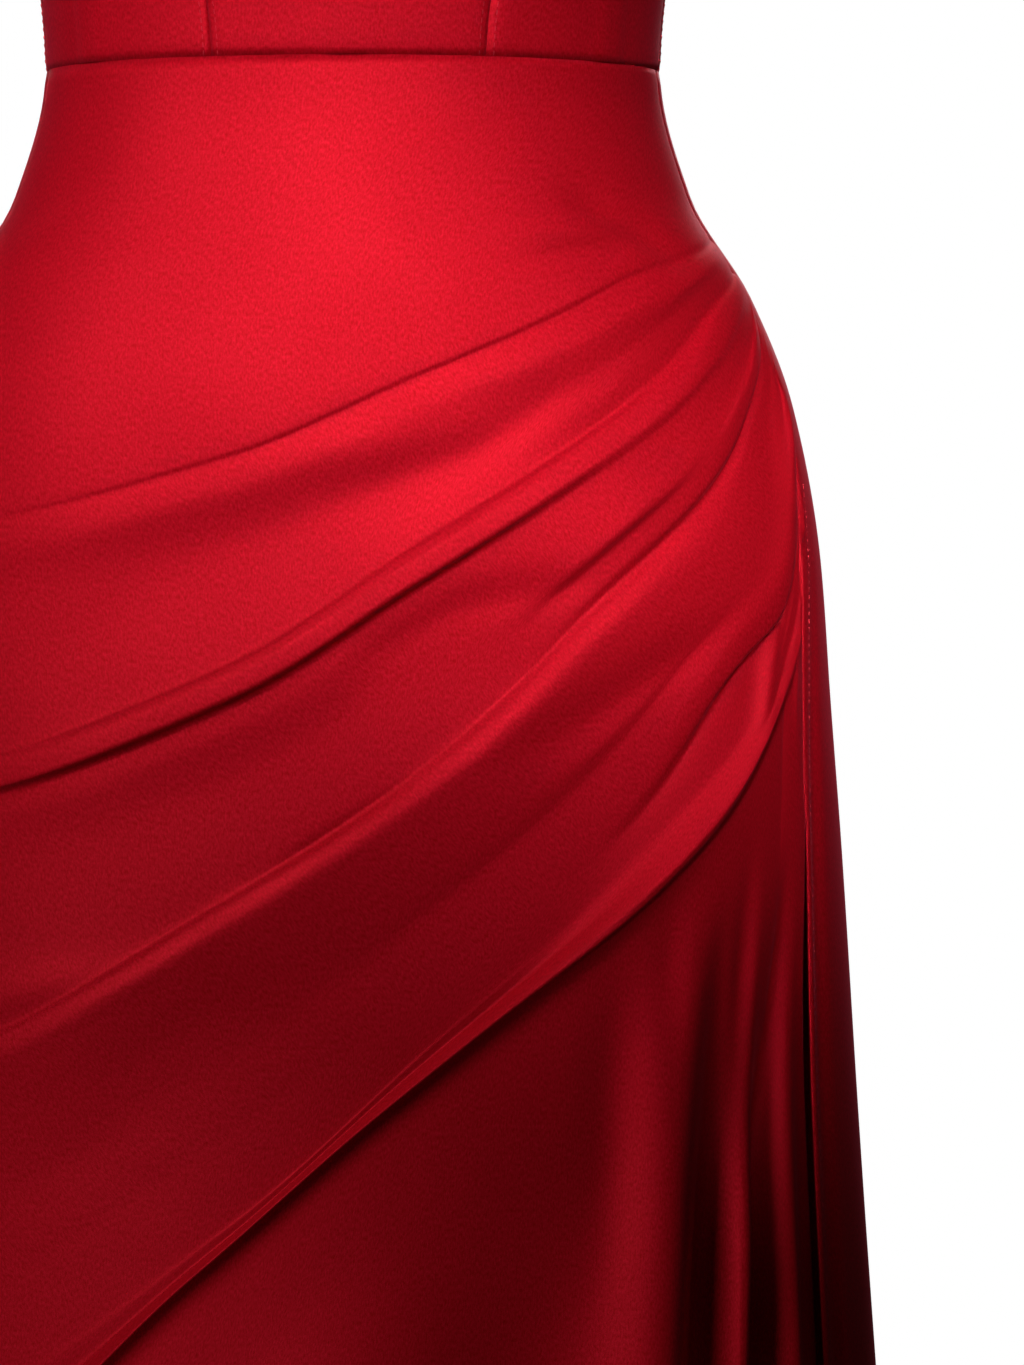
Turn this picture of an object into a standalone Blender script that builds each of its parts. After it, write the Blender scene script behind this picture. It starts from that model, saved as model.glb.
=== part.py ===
"""Satin corset gown, full length, as it hangs when worn, with nobody in it.

Metres, +Z up. The gown's front faces -Y and the wearer's left side is +X. The origin is the middle of the waist,
where the gown is held. A bearing is an angle round the gown: 0 is the wearer's left side, 90 the centre front,
180 the right side and 270 the centre back.
"""

import bmesh
import bpy
import numpy as np

# General sizes
CLOTH_WALL = 0.0015
CORSET_WALL = 0.0022
SEAM_GAP = 0.0003
WAIST_HEIGHT = 0.0
HEM_HEIGHT = -1.120
RIGHT_SEAM_BEARING = 172.0

# The gown's own form, as level sections
# height, half width, front depth, back depth
FORM = (
    (0.235, 0.149, 0.113, 0.097),
    (0.180, 0.147, 0.112, 0.096),
    (0.120, 0.140, 0.104, 0.093),
    (0.060, 0.129, 0.095, 0.088),
    (0.000, 0.123, 0.092, 0.086),
    (-0.050, 0.135, 0.099, 0.104),
    (-0.090, 0.159, 0.106, 0.121),
    (-0.134, 0.176, 0.112, 0.132),
    (-0.195, 0.187, 0.117, 0.140),
    (-0.251, 0.191, 0.120, 0.141),
    (-0.304, 0.195, 0.123, 0.143),
    (-0.421, 0.203, 0.131, 0.149),
    (-0.600, 0.216, 0.144, 0.161),
    (-0.800, 0.231, 0.160, 0.178),
    (-1.120, 0.254, 0.186, 0.206),
)

# The left side seam, which opens into the slit
# height, bearing
LEFT_SEAM = (
    (0.000, 8.0),
    (-0.067, 8.5),
    (-0.095, 9.5),
    (-0.150, 13.0),
    (-0.187, 16.5),
    (-0.240, 20.0),
    (-0.300, 23.0),
    (-0.420, 26.5),
    (-0.700, 29.0),
    (-1.120, 31.0),
)
SLIT_TOP = -0.283
SLIT_EDGE_IN = 0.0032
SLIT_OPEN_LENGTH = 0.110
SLIT_FRONT_BACK_OFF = 0.0003
SLIT_EDGE_SHARE = 0.045

# Fold lines of the draped front, from the left seam across to the right one
# bearing, height, for each station; the first and last bearings are those of the seams
FOLD_LINES = {
    "first_pleat": (
        (8.5, -0.0669), (43.9, -0.0848), (60.1, -0.1019), (80.4, -0.1257),
        (104.8, -0.1577), (138.0, -0.1800), (172.0, -0.1860),
    ),
    "tube": (
        (9.0, -0.0800), (27.5, -0.0950), (48.5, -0.1286), (63.2, -0.1541),
        (81.6, -0.1891), (103.9, -0.2355), (138.0, -0.2720), (172.0, -0.2820),
    ),
    "third_pleat": (
        (9.5, -0.0939), (19.5, -0.1164), (26.3, -0.1323), (37.3, -0.1627), (58.6, -0.2119),
        (76.9, -0.2644), (103.5, -0.3253), (138.0, -0.3820), (172.0, -0.3980),
    ),
    "bulge": (
        (10.5, -0.1098), (16.0, -0.1260), (21.0, -0.1556), (28.0, -0.2157), (37.3, -0.2385),
        (52.5, -0.2912), (75.0, -0.3500), (103.0, -0.4230), (138.0, -0.4880), (172.0, -0.5050),
    ),
    "gathers": (
        (12.5, -0.1310), (19.0, -0.1540), (22.3, -0.1830), (29.5, -0.2311), (35.4, -0.2553),
        (53.5, -0.3080), (78.0, -0.3740), (103.0, -0.4500), (138.0, -0.5210), (172.0, -0.5400),
    ),
    "band_edge": (
        (15.7, -0.1680), (22.0, -0.1950), (25.4, -0.2283), (31.3, -0.2546), (40.5, -0.2887),
        (52.3, -0.3220), (74.2, -0.3760), (87.7, -0.4130), (106.0, -0.4700), (138.0, -0.5600), (172.0, -0.5850),
    ),
}

# Rows of cloth that follow the fold lines
# line, distance below it, largest share of the way to the next line, relief at the seam, near it and far from it
FOLD_ROWS = (
    ("waist", 0.000, 0.00, 0.0000, 0.0000, 0.0000),
    ("waist", 1.000, 0.17, 0.0000, 0.0000, 0.0000),
    ("waist", 1.000, 0.34, 0.0000, 0.0003, 0.0004),
    ("waist", 1.000, 0.51, 0.0000, 0.0005, 0.0008),
    ("waist", 1.000, 0.67, 0.0000, 0.0007, 0.0011),
    ("first_pleat", -0.014, 0.25, 0.0000, 0.0008, 0.0012),
    ("first_pleat", -0.003, 0.08, 0.0000, 0.0006, 0.0009),
    ("first_pleat", 0.000, 0.00, -0.0002, -0.0002, 0.0001),
    ("first_pleat", 0.0045, 0.18, 0.0004, 0.0009, 0.0008),
    ("first_pleat", 0.012, 0.38, 0.0006, 0.0018, 0.0011),
    ("first_pleat", 0.034, 0.60, 0.0004, -0.0004, -0.0026),
    ("tube", -0.008, 0.20, 0.0002, -0.0008, -0.0006),
    ("tube", 0.000, 0.00, -0.0002, -0.0014, 0.0002),
    ("tube", 0.0035, 0.10, 0.0006, 0.0006, 0.0024),
    ("tube", 0.0075, 0.19, 0.0008, 0.0018, 0.0040),
    ("tube", 0.0130, 0.32, 0.0009, 0.0024, 0.0042),
    ("tube", 0.0175, 0.43, 0.0008, 0.0014, -0.0006),
    ("tube", 0.0250, 0.56, 0.0006, 0.0016, -0.0008),
    ("tube", 0.0450, 0.70, 0.0006, 0.0026, -0.0032),
    ("third_pleat", -0.016, 0.22, 0.0008, 0.0034, -0.0036),
    ("third_pleat", -0.004, 0.08, 0.0006, 0.0030, -0.0038),
    ("third_pleat", 0.000, 0.00, -0.0004, 0.0000, -0.0036),
    ("third_pleat", 0.0045, 0.14, 0.0004, 0.0018, -0.0006),
    ("third_pleat", 0.0110, 0.30, 0.0006, 0.0032, 0.0010),
    ("third_pleat", 0.0200, 0.42, 0.0008, 0.0046, -0.0004),
    ("third_pleat", 0.0420, 0.58, 0.0008, 0.0062, -0.0042),
    ("bulge", -0.034, 0.34, 0.0008, 0.0070, -0.0056),
    ("bulge", -0.014, 0.18, 0.0008, 0.0084, -0.0060),
    ("bulge", -0.0045, 0.07, 0.0006, 0.0076, -0.0062),
    ("bulge", 0.000, 0.00, 0.0000, 0.0022, -0.0062),
    ("bulge", 0.008, 0.30, 0.0004, 0.0032, -0.0062),
    ("gathers", 0.000, 0.00, 0.0006, 0.0037, -0.0062),
    ("gathers", 0.007, 0.22, 0.0006, 0.0041, -0.0060),
    ("band_edge", -0.030, 0.50, 0.0006, 0.0044, -0.0062),
    ("band_edge", -0.014, 0.30, 0.0006, 0.0055, -0.0028),
    ("band_edge", -0.004, 0.10, 0.0006, 0.0063, 0.0000),
    ("band_edge", 0.000, 0.00, 0.0004, 0.0052, 0.0008),
    ("band_edge", 0.0045, 0.013, 0.0000, 0.0012, -0.0028),
    ("band_edge", 0.0140, 0.04, -0.0004, -0.0008, -0.0040),
    ("band_edge", 1.000, 0.09, 0.0, -0.0016, -0.0034),
    ("band_edge", 1.000, 0.17, 0.0, -0.0012, -0.0020),
    ("band_edge", 1.000, 0.27, 0.0, 0.0, 0.0),
    ("band_edge", 1.000, 0.40, 0.0, 0.0, 0.0),
    ("band_edge", 1.000, 0.55, 0.0, 0.0, 0.0),
    ("band_edge", 1.000, 0.70, 0.0, 0.0, 0.0),
    ("band_edge", 1.000, 0.85, 0.0, 0.0, 0.0),
    ("hem", 0.000, 0.00, 0.0, 0.0, 0.0),
)
LINE_ORDER = ("waist",) + tuple(FOLD_LINES) + ("hem",)
BAND_FOOT_ROW = -9
SEAM_FOLLOW_SHARE = 0.40

# How far across each fold reaches, as shares of its line: near the seam, then far from it, then gone
# line, full from, far from, far by, fades from, gone by
FOLD_REACH = {
    "waist": (0.20, 0.20, 0.50, 0.60, 1.00),
    "first_pleat": (0.20, 0.20, 0.50, 0.56, 0.98),
    "tube": (0.16, 0.27, 0.44, 0.62, 0.99),
    "third_pleat": (0.10, 0.14, 0.44, 0.66, 0.99),
    "bulge": (0.09, 0.14, 0.42, 0.72, 0.99),
    "gathers": (0.08, 0.16, 0.42, 0.72, 0.99),
    "band_edge": (0.08, 0.20, 0.45, 0.72, 0.99),
    "hem": (0.20, 0.20, 0.50, 0.60, 1.00),
}

# Soft flutes that hang below the band
# bearing at the top, height at the top, bearing at the hem, half width at the top and hem, relief at the hem
FRONT_FLUTES = (
    (40.5, -0.290, 70.0, 0.014, 0.032, 0.024),
    (35.5, -0.300, 63.0, 0.007, 0.015, -0.022),
    (31.0, -0.305, 58.0, 0.005, 0.012, 0.018),
    (27.0, -0.310, 54.0, 0.006, 0.013, -0.022),
    (24.0, -0.330, 46.0, 0.005, 0.012, 0.012),
    (62.0, -0.400, 86.0, 0.026, 0.032, -0.016),
    (84.0, -0.450, 102.0, 0.028, 0.036, 0.018),
    (108.0, -0.500, 120.0, 0.028, 0.034, -0.016),
    (130.0, -0.560, 140.0, 0.028, 0.036, 0.020),
    (152.0, -0.600, 158.0, 0.022, 0.028, -0.012),
)
BACK_FLUTES = (
    (352.0, -0.300, 349.0, 0.022, 0.030, -0.013),
    (330.0, -0.330, 327.0, 0.028, 0.036, 0.018),
    (308.0, -0.360, 306.0, 0.028, 0.034, -0.015),
    (286.0, -0.380, 285.0, 0.028, 0.036, 0.014),
    (254.0, -0.380, 255.0, 0.028, 0.036, 0.014),
    (232.0, -0.360, 234.0, 0.028, 0.034, -0.015),
    (210.0, -0.330, 213.0, 0.028, 0.036, 0.018),
    (188.0, -0.300, 191.0, 0.022, 0.030, -0.013),
)
FLUTE_FULL_LENGTH = 0.18
FLUTE_START_SHARE = 0.45
FLUTE_BELOW_BAND = 0.06
FLUTE_AT_SLIT_SHARE = 0.15
BACK_FLUTE_EDGE_SHARE = 0.10
BACK_FIRST_BEARING = 100.0
MEAN_RADIUS = 0.165

# How finely the panels are lofted
NEAR_SEAM_SHARE = 0.16
NEAR_SEAM_COLUMNS = 13
FRONT_COLUMNS = 30
BACK_LEFT_COLUMNS = 18
BACK_RIGHT_COLUMNS = 17
BACK_ROW_SPACING = 0.009
BODICE_ROWS = 13

# Bodice: the cups and the top edge
# bearing, height of the top edge
TOP_EDGE = (
    (-90.0, 0.120),
    (-50.0, 0.128),
    (-10.0, 0.150),
    (20.0, 0.178),
    (40.0, 0.206),
    (55.0, 0.214),
    (72.0, 0.200),
    (84.0, 0.170),
    (90.0, 0.160),
)
BODICE_RADIUS = 0.12
CUP_BEARING = 52.0
CUP_HEIGHT = 0.140
CUP_HALF_ANGLE = 21.0
CUP_HALF_HEIGHT = 0.052
CUP_RELIEF = 0.017
PRINCESS_SEAM_OFFSET = 40.0
PRINCESS_SEAM_OFFSET_WAIST = 26.0
PRINCESS_SEAM_SPREAD_BY = 0.8
BODICE_SIDE_BEARING = 4.0

# Closing at the centre back
ZIP_LOW = -0.180
ZIP_TAPE_HALF_WIDTH = 0.012
ZIP_TAPE_WALL = 0.0010
ZIP_TAPE_IN = 0.0008
ZIP_TAPE_BELOW_TOP = 0.003
ZIP_TAPE_ROWS = 16
ZIP_TAPE_COLUMNS = 5
BACK_RADIUS = 0.095
BACK_SEAM_GAP = 0.00039
SLIDER_SIZE = (0.0070, 0.0026, 0.0100)
SLIDER_BELOW_TOP = 0.012
SLIDER_OFF = 0.0006
BAIL_SIZE = (0.0016, 0.0038, 0.0050)
BAIL_HOLE = (0.0022, 0.0026)
PULL_SIZE = (0.0056, 0.0012, 0.0240)
PULL_EYE = (0.0032, 0.0036)
PULL_BAR = 0.0012
BAIL_ROOT = 0.0004
CUTTER_DEPTH = 0.010

# Colours as the photograph shows them
SATIN_RED = (0.52, 0.004, 0.018)
METAL_RED = (0.30, 0.010, 0.018)
SATIN_ROUGHNESS = 0.36
METAL_ROUGHNESS = 0.35
METAL_SHARE = 0.6


def pchip(known, values, wanted):
    """A smooth curve through the known values that never overshoots them."""
    known = np.asarray(known, float)
    values = np.asarray(values, float)
    if known[0] > known[-1]:
        known, values = known[::-1], values[::-1]
    step = np.diff(known)
    slope = np.diff(values) / step
    tangent = np.zeros(len(known))
    for i in range(1, len(known) - 1):
        if slope[i - 1] * slope[i] > 0:
            before = 2 * step[i] + step[i - 1]
            after = step[i] + 2 * step[i - 1]
            tangent[i] = (before + after) / (before / slope[i - 1] + after / slope[i])
    tangent[0] = slope[0]
    tangent[-1] = slope[-1]
    wanted = np.clip(np.asarray(wanted, float), known[0], known[-1])
    i = np.clip(np.searchsorted(known, wanted) - 1, 0, len(step) - 1)
    t = (wanted - known[i]) / step[i]
    start = (1 + 2 * t) * (1 - t) ** 2 * values[i] + t * (1 - t) ** 2 * step[i] * tangent[i]
    end = t * t * (3 - 2 * t) * values[i + 1] + t * t * (t - 1) * step[i] * tangent[i + 1]
    return start + end


def ease(low, high, value):
    t = np.clip((np.asarray(value, float) - low) / (high - low), 0.0, 1.0)
    return t * t * (3 - 2 * t)


def turn_of(length, radius):
    """The turn in degrees that a length round the gown makes at a radius."""
    return np.degrees(length / radius)


def steady(bearing):
    """A seam that keeps to one bearing."""
    return lambda place: bearing + 0.0 * place


def form_column(height, column):
    return pchip([row[0] for row in FORM], [row[column] for row in FORM], height)


def on_form(bearing, height):
    """Points of the gown's plain form, as an array of x, y, z."""
    turn = np.radians(bearing)
    front = form_column(height, 2)
    back = form_column(height, 3)
    depth = np.where(np.sin(turn) >= 0, front, back)
    half_width = form_column(height, 1)
    return np.stack([half_width * np.cos(turn), -depth * np.sin(turn), np.asarray(height, float)], axis=-1)


def outward(bearing, height):
    """Unit directions straight out of the form."""
    small_turn = 0.5
    small_rise = 0.002
    around = on_form(bearing + small_turn, height) - on_form(bearing - small_turn, height)
    rise = on_form(bearing, height + small_rise) - on_form(bearing, height - small_rise)
    direction = np.cross(rise, around)
    return direction / np.linalg.norm(direction, axis=-1, keepdims=True)


def raised(bearing, height, relief):
    """Points that stand out of the form by the relief."""
    return on_form(bearing, height) + outward(bearing, height) * relief[..., None]


def left_seam_bearing(height):
    return pchip([row[0] for row in LEFT_SEAM], [row[1] for row in LEFT_SEAM], height)


def flute_relief(bearing, height, flutes):
    """Soft flutes, growing from nothing at their tops to their full relief below."""
    relief = np.zeros(np.broadcast(bearing, height).shape)
    for top_bearing, top, hem_bearing, top_width, hem_width, full in flutes:
        share = np.clip((top - height) / (top - HEM_HEIGHT), 0.0, 1.0)
        centre = top_bearing + (hem_bearing - top_bearing) * np.sqrt(share)
        width = top_width + (hem_width - top_width) * share
        grown = ease(0.0, FLUTE_FULL_LENGTH, top - height)
        grown = grown * (FLUTE_START_SHARE + (1 - FLUTE_START_SHARE) * share)
        away = np.radians(bearing - centre) * MEAN_RADIUS
        relief = relief + full * grown * np.exp(-((away / width) ** 2))
    return relief


def fold_line(name, across):
    """Bearing and height of a fold line at shares of the way across the front."""
    if name == "waist":
        start = float(left_seam_bearing(WAIST_HEIGHT))
        bearing = start + (RIGHT_SEAM_BEARING - start) * across
        return bearing, np.full_like(across, WAIST_HEIGHT - SEAM_GAP)
    if name == "hem":
        start = float(left_seam_bearing(HEM_HEIGHT))
        bearing = start + (RIGHT_SEAM_BEARING - start) * across
        return bearing, np.full_like(across, HEM_HEIGHT)
    stations = np.array(FOLD_LINES[name])
    along = np.radians(stations[:, 0]) * MEAN_RADIUS
    steps = np.hypot(np.diff(along), np.diff(stations[:, 1]))
    share = np.concatenate([[0.0], np.cumsum(steps)])
    share /= share[-1]
    bearing = pchip(share, stations[:, 0], across)
    height = pchip(share, stations[:, 1], across)
    return bearing, height


def front_rows(across):
    """Bearing, height and relief of each cloth row of the draped front."""
    lines = {name: fold_line(name, across) for name in LINE_ORDER}
    bearings, heights, reliefs = [], [], []
    for name, distance, cap, seam_relief, near_relief, far_relief in FOLD_ROWS:
        here = lines[name]
        index = LINE_ORDER.index(name)
        other = here
        if distance > 0:
            other = lines[LINE_ORDER[index + 1]]
        if distance < 0:
            other = lines[LINE_ORDER[index - 1]]
        gap = np.hypot(np.radians(other[0] - here[0]) * MEAN_RADIUS, other[1] - here[1])
        share = np.minimum(cap, abs(distance) / np.maximum(gap, 1e-6))
        bearings.append(here[0] + (other[0] - here[0]) * share)
        heights.append(here[1] + (other[1] - here[1]) * share)
        full_from, far_from, far_by, fades_from, gone_by = FOLD_REACH[name]
        rise = ease(0.0, full_from, across)
        far = ease(far_from, far_by, across)
        fall = 1 - ease(fades_from, gone_by, across)
        relief = seam_relief + (near_relief - seam_relief) * rise + (far_relief - near_relief) * far
        reliefs.append(relief * fall)
    return np.array(bearings), np.array(heights), np.array(reliefs)


def slit_setback(height):
    """How far the front's free edge falls in behind the back's edge, below the slit's top."""
    return SLIT_EDGE_IN * ease(0.0, SLIT_OPEN_LENGTH, SLIT_TOP - height)


def front_surface(across, per_gap):
    """Points of the draped front, with per_gap mesh rows from each cloth row to the next."""
    bearings, heights, reliefs = front_rows(across)
    count = len(FOLD_ROWS)
    fine = np.linspace(0, count - 1, (count - 1) * per_gap + 1)
    known = np.arange(count)
    columns = range(len(across))
    bearing = np.stack([pchip(known, bearings[:, c], fine) for c in columns], axis=1)
    height = np.stack([pchip(known, heights[:, c], fine) for c in columns], axis=1)
    relief = np.stack([pchip(known, reliefs[:, c], fine) for c in columns], axis=1)
    to_seam = left_seam_bearing(height[:, :1]) - bearing[:, :1]
    bearing = bearing + to_seam * (1 - ease(0.0, SEAM_FOLLOW_SHARE, across[None, :]))
    below_band = ease(0.0, FLUTE_BELOW_BAND, heights[BAND_FOOT_ROW][None, :] - height)
    edge = np.exp(-((across[None, :] / SLIT_EDGE_SHARE) ** 2))
    away_from_edge = 1 - (1 - FLUTE_AT_SLIT_SHARE) * edge
    relief = relief + flute_relief(bearing, height, FRONT_FLUTES) * below_band * away_from_edge
    relief = relief - slit_setback(height) * edge
    bearing = bearing + turn_of(SEAM_GAP / 2, MEAN_RADIUS) * (1 - 2 * across[None, :])
    open_by = SLIT_FRONT_BACK_OFF * ease(0.0, SLIT_OPEN_LENGTH, SLIT_TOP - height) * edge
    bearing = bearing + turn_of(open_by, MEAN_RADIUS)
    return raised(bearing, height, relief), form_tangent(bearing, height)


def back_surface(from_bearing, to_bearing, heights, columns):
    """Points of a plain back panel between two edges, each a function of height."""
    share = np.linspace(0, 1, columns)[None, :]
    height = np.array(heights)[:, None] * np.ones_like(share)
    start = from_bearing(height)
    end = to_bearing(height)
    bearing = start + (end - start) * share
    round_back = np.mod(bearing - BACK_FIRST_BEARING, 360.0) + BACK_FIRST_BEARING
    relief = flute_relief(round_back, height, BACK_FLUTES)
    relief = relief * ease(0.0, BACK_FLUTE_EDGE_SHARE, np.minimum(share, 1 - share))
    return raised(bearing, height, relief), form_tangent(bearing, height)


def new_material(name, colour, roughness, metallic):
    material = bpy.data.materials.new(name)
    material.use_nodes = True
    shader = material.node_tree.nodes["Principled BSDF"]
    shader.inputs["Base Color"].default_value = (*colour, 1.0)
    shader.inputs["Roughness"].default_value = roughness
    shader.inputs["Metallic"].default_value = metallic
    return material


def sheet_normals(points, around):
    """Outward directions of a sheet; at its side edges they match the neighbour's across the seam."""
    along = np.gradient(points, axis=1)
    for edge in (0, -1):
        along[:, edge] = around[:, edge]
    direction = np.cross(np.gradient(points, axis=0), along)
    if float((direction[..., :2] * points[..., :2]).sum()) < 0:
        direction = -direction
    return direction / np.linalg.norm(direction, axis=-1, keepdims=True)


def form_tangent(bearing, height):
    """The way round the form, towards larger bearings."""
    return on_form(bearing + 0.5, height) - on_form(bearing - 0.5, height)


def add_sheet(name, surface, wall, collection, colour):
    """A cloth wall lofted through rows of points, outside skin first, then the inside one."""
    points, around = surface
    rows, columns = points.shape[:2]
    inside = points - sheet_normals(points, around) * wall
    total = rows * columns
    faces = []
    for r in range(rows - 1):
        for c in range(columns - 1):
            corner = r * columns + c
            face = (corner, corner + 1, corner + columns + 1, corner + columns)
            faces.append(face)
            faces.append(tuple(total + index for index in reversed(face)))
    top = list(range(columns))
    right = [r * columns + columns - 1 for r in range(1, rows)]
    bottom = list(range(total - 2, total - columns - 1, -1))
    left = [r * columns for r in range(rows - 2, 0, -1)]
    rim = top + right + bottom + left
    for here, following in zip(rim, rim[1:] + rim[:1]):
        faces.append((following, here, total + here, total + following))
    mesh = bpy.data.meshes.new(name)
    vertices = np.concatenate([points.reshape(-1, 3), inside.reshape(-1, 3)])
    mesh.from_pydata([tuple(p) for p in vertices], [], faces)
    mesh.polygons.foreach_set("use_smooth", [True] * len(mesh.polygons))
    mesh.update()
    shape = bmesh.new()
    shape.from_mesh(mesh)
    bmesh.ops.recalc_face_normals(shape, faces=shape.faces)
    shape.to_mesh(mesh)
    shape.free()
    sheet = bpy.data.objects.new(name, mesh)
    collection.objects.link(sheet)
    mesh.materials.append(new_material(name + "_satin", colour, SATIN_ROUGHNESS, 0.0))
    return sheet


def mirrored(bearing):
    return 180.0 - bearing


def top_edge_height(bearing):
    """Height of the bodice's top edge, the same on both sides."""
    folded = np.mod(np.asarray(bearing, float) + 90.0, 360.0) - 90.0
    folded = np.where(folded > 90.0, 180.0 - folded, folded)
    return pchip([row[0] for row in TOP_EDGE], [row[1] for row in TOP_EDGE], folded)


def cup_relief(bearing, height):
    relief = 0.0
    for centre in (CUP_BEARING, mirrored(CUP_BEARING)):
        round_it = ((bearing - centre) / CUP_HALF_ANGLE) ** 2
        over_it = ((height - CUP_HEIGHT) / CUP_HALF_HEIGHT) ** 2
        relief = relief + CUP_RELIEF * np.exp(-round_it - over_it)
    return relief


def bodice_surface(start_edge, end_edge, columns, rows):
    """Points of a bodice panel between two seams, each a function of the share of the way up."""
    share = np.linspace(0, 1, columns)[None, :]
    up = np.linspace(0, 1, rows)[:, None]
    half_gap = turn_of(SEAM_GAP / 2, BODICE_RADIUS)
    start = start_edge(up) + half_gap
    end = end_edge(up) - half_gap
    bearing = start + (end - start) * share
    height = up * top_edge_height(bearing)
    return raised(bearing, height, cup_relief(bearing, height)), form_tangent(bearing, height)


def princess_seam(up):
    """Bearing of the left princess seam, which runs from the waist over the cup's inner half."""
    spread = ease(0.0, PRINCESS_SEAM_SPREAD_BY, up)
    offset = PRINCESS_SEAM_OFFSET_WAIST + (PRINCESS_SEAM_OFFSET - PRINCESS_SEAM_OFFSET_WAIST) * spread
    return 90.0 - offset


def right_princess_seam(up):
    return mirrored(princess_seam(up))


def add_bodice(collection):
    left_side = steady(BODICE_SIDE_BEARING)
    right_side = steady(mirrored(BODICE_SIDE_BEARING))
    # name, start seam, end seam, columns
    panels = (
        ("bodice_centre_front", princess_seam, right_princess_seam, 14),
        ("bodice_side_front_left", left_side, princess_seam, 10),
        ("bodice_side_front_right", right_princess_seam, right_side, 10),
        ("bodice_back_left", steady(-90.0), left_side, 12),
        ("bodice_back_right", right_side, steady(270.0), 12),
    )
    for name, start, end, columns in panels:
        surface = bodice_surface(start, end, columns, BODICE_ROWS)
        add_sheet(name, surface, CORSET_WALL, collection, SATIN_RED)


def rows_apart(heights, spacing):
    """Every height that lies at least the spacing below the one kept before it, and the last."""
    kept = [float(heights[0])]
    for height in heights[1:-1]:
        if kept[-1] - height >= spacing and height - heights[-1] >= spacing:
            kept.append(float(height))
    return kept + [float(heights[-1])]


def add_skirt(collection):
    near_seam = np.linspace(0, NEAR_SEAM_SHARE, NEAR_SEAM_COLUMNS)
    rest = np.linspace(NEAR_SEAM_SHARE, 1.0, FRONT_COLUMNS + 1)[1:]
    front = front_surface(np.concatenate([near_seam, rest]), 1)
    add_sheet("skirt_front", front, CLOTH_WALL, collection, SATIN_RED)

    half_gap = turn_of(SEAM_GAP / 2, MEAN_RADIUS)
    half_back_gap = turn_of(BACK_SEAM_GAP / 2, MEAN_RADIUS)
    left_edge_heights = rows_apart(front[0][:, 0, 2], BACK_ROW_SPACING)
    right_edge_heights = rows_apart(front[0][:, -1, 2], 2 * BACK_ROW_SPACING)
    left = back_surface(
        steady(-90.0 + half_back_gap),
        lambda height: left_seam_bearing(height) - half_gap,
        left_edge_heights,
        BACK_LEFT_COLUMNS,
    )
    right = back_surface(
        steady(RIGHT_SEAM_BEARING + half_gap),
        steady(270.0 - half_back_gap),
        right_edge_heights,
        BACK_RIGHT_COLUMNS,
    )
    add_sheet("skirt_back_left", left, CLOTH_WALL, collection, SATIN_RED)
    add_sheet("skirt_back_right", right, CLOTH_WALL, collection, SATIN_RED)


def back_middle(height):
    """Depth of the gown's outside at the centre back."""
    return float(form_column(height, 3))


def add_zip_tape(collection):
    """The zip's tape, inside the centre back seam."""
    top = float(top_edge_height(270.0)) - ZIP_TAPE_BELOW_TOP
    height = np.linspace(top, ZIP_LOW, ZIP_TAPE_ROWS)[:, None]
    share = np.linspace(-1, 1, ZIP_TAPE_COLUMNS)[None, :]
    height, share = np.broadcast_arrays(height, share)
    bearing = 270.0 + share * turn_of(ZIP_TAPE_HALF_WIDTH, BACK_RADIUS)
    depth = np.full(bearing.shape, CORSET_WALL + ZIP_TAPE_IN)
    add_sheet("zip_tape", (raised(bearing, height, -depth), form_tangent(bearing, height)), ZIP_TAPE_WALL,
              collection, SATIN_RED)


def add_box(name, size, centre, place, collection, colour):
    """A box round a centre given from its own origin, which stands at the place."""
    shape = bmesh.new()
    bmesh.ops.create_cube(shape, size=1.0)
    for vertex in shape.verts:
        vertex.co = [vertex.co[i] * size[i] + centre[i] for i in range(3)]
    mesh = bpy.data.meshes.new(name)
    shape.to_mesh(mesh)
    shape.free()
    box = bpy.data.objects.new(name, mesh)
    box.location = place
    collection.objects.link(box)
    if colour is not None:
        mesh.materials.append(new_material(name + "_finish", colour, METAL_ROUGHNESS, METAL_SHARE))
    return box


def add_boolean(target, tool, operation):
    tool.hide_render = True
    tool.display_type = "WIRE"
    change = target.modifiers.new(operation.lower(), "BOOLEAN")
    change.operation = operation
    change.solver = "EXACT"
    change.object = tool


def hinge_place():
    """Where the pull tab turns: the middle of the bar inside the slider's bail."""
    top = float(top_edge_height(270.0))
    slider_height = top - SLIDER_BELOW_TOP
    outside = back_middle(slider_height) + SLIDER_OFF + SLIDER_SIZE[1]
    return outside + BAIL_HOLE[0] / 2, slider_height


def add_zip_slider(collection, cutters):
    """The slider with its bail, and the pull tab that hangs from it."""
    depth, height = hinge_place()
    hinge = (0.0, depth, height)
    face = -BAIL_HOLE[0] / 2
    slider = add_box("zip_slider", SLIDER_SIZE, (0, face - SLIDER_SIZE[1] / 2, 0), hinge, collection, METAL_RED)
    bail_middle = face - BAIL_ROOT + BAIL_SIZE[1] / 2
    bail = add_box("bail", BAIL_SIZE, (0, bail_middle, 0), hinge, cutters, None)
    add_boolean(slider, bail, "UNION")
    hole_size = (CUTTER_DEPTH, BAIL_HOLE[0], BAIL_HOLE[1])
    hole = add_box("bail_hole", hole_size, (0, 0, 0), hinge, cutters, None)
    add_boolean(slider, hole, "DIFFERENCE")

    pull_middle = (PULL_BAR - PULL_SIZE[2]) / 2
    pull = add_box("zip_pull", PULL_SIZE, (0, 0, pull_middle), hinge, collection, METAL_RED)
    eye_size = (PULL_EYE[0], CUTTER_DEPTH, PULL_EYE[1])
    eye_middle = -(PULL_BAR + PULL_EYE[1]) / 2
    eye = add_box("pull_eye", eye_size, (0, 0, eye_middle), hinge, cutters, None)
    add_boolean(pull, eye, "DIFFERENCE")


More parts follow.
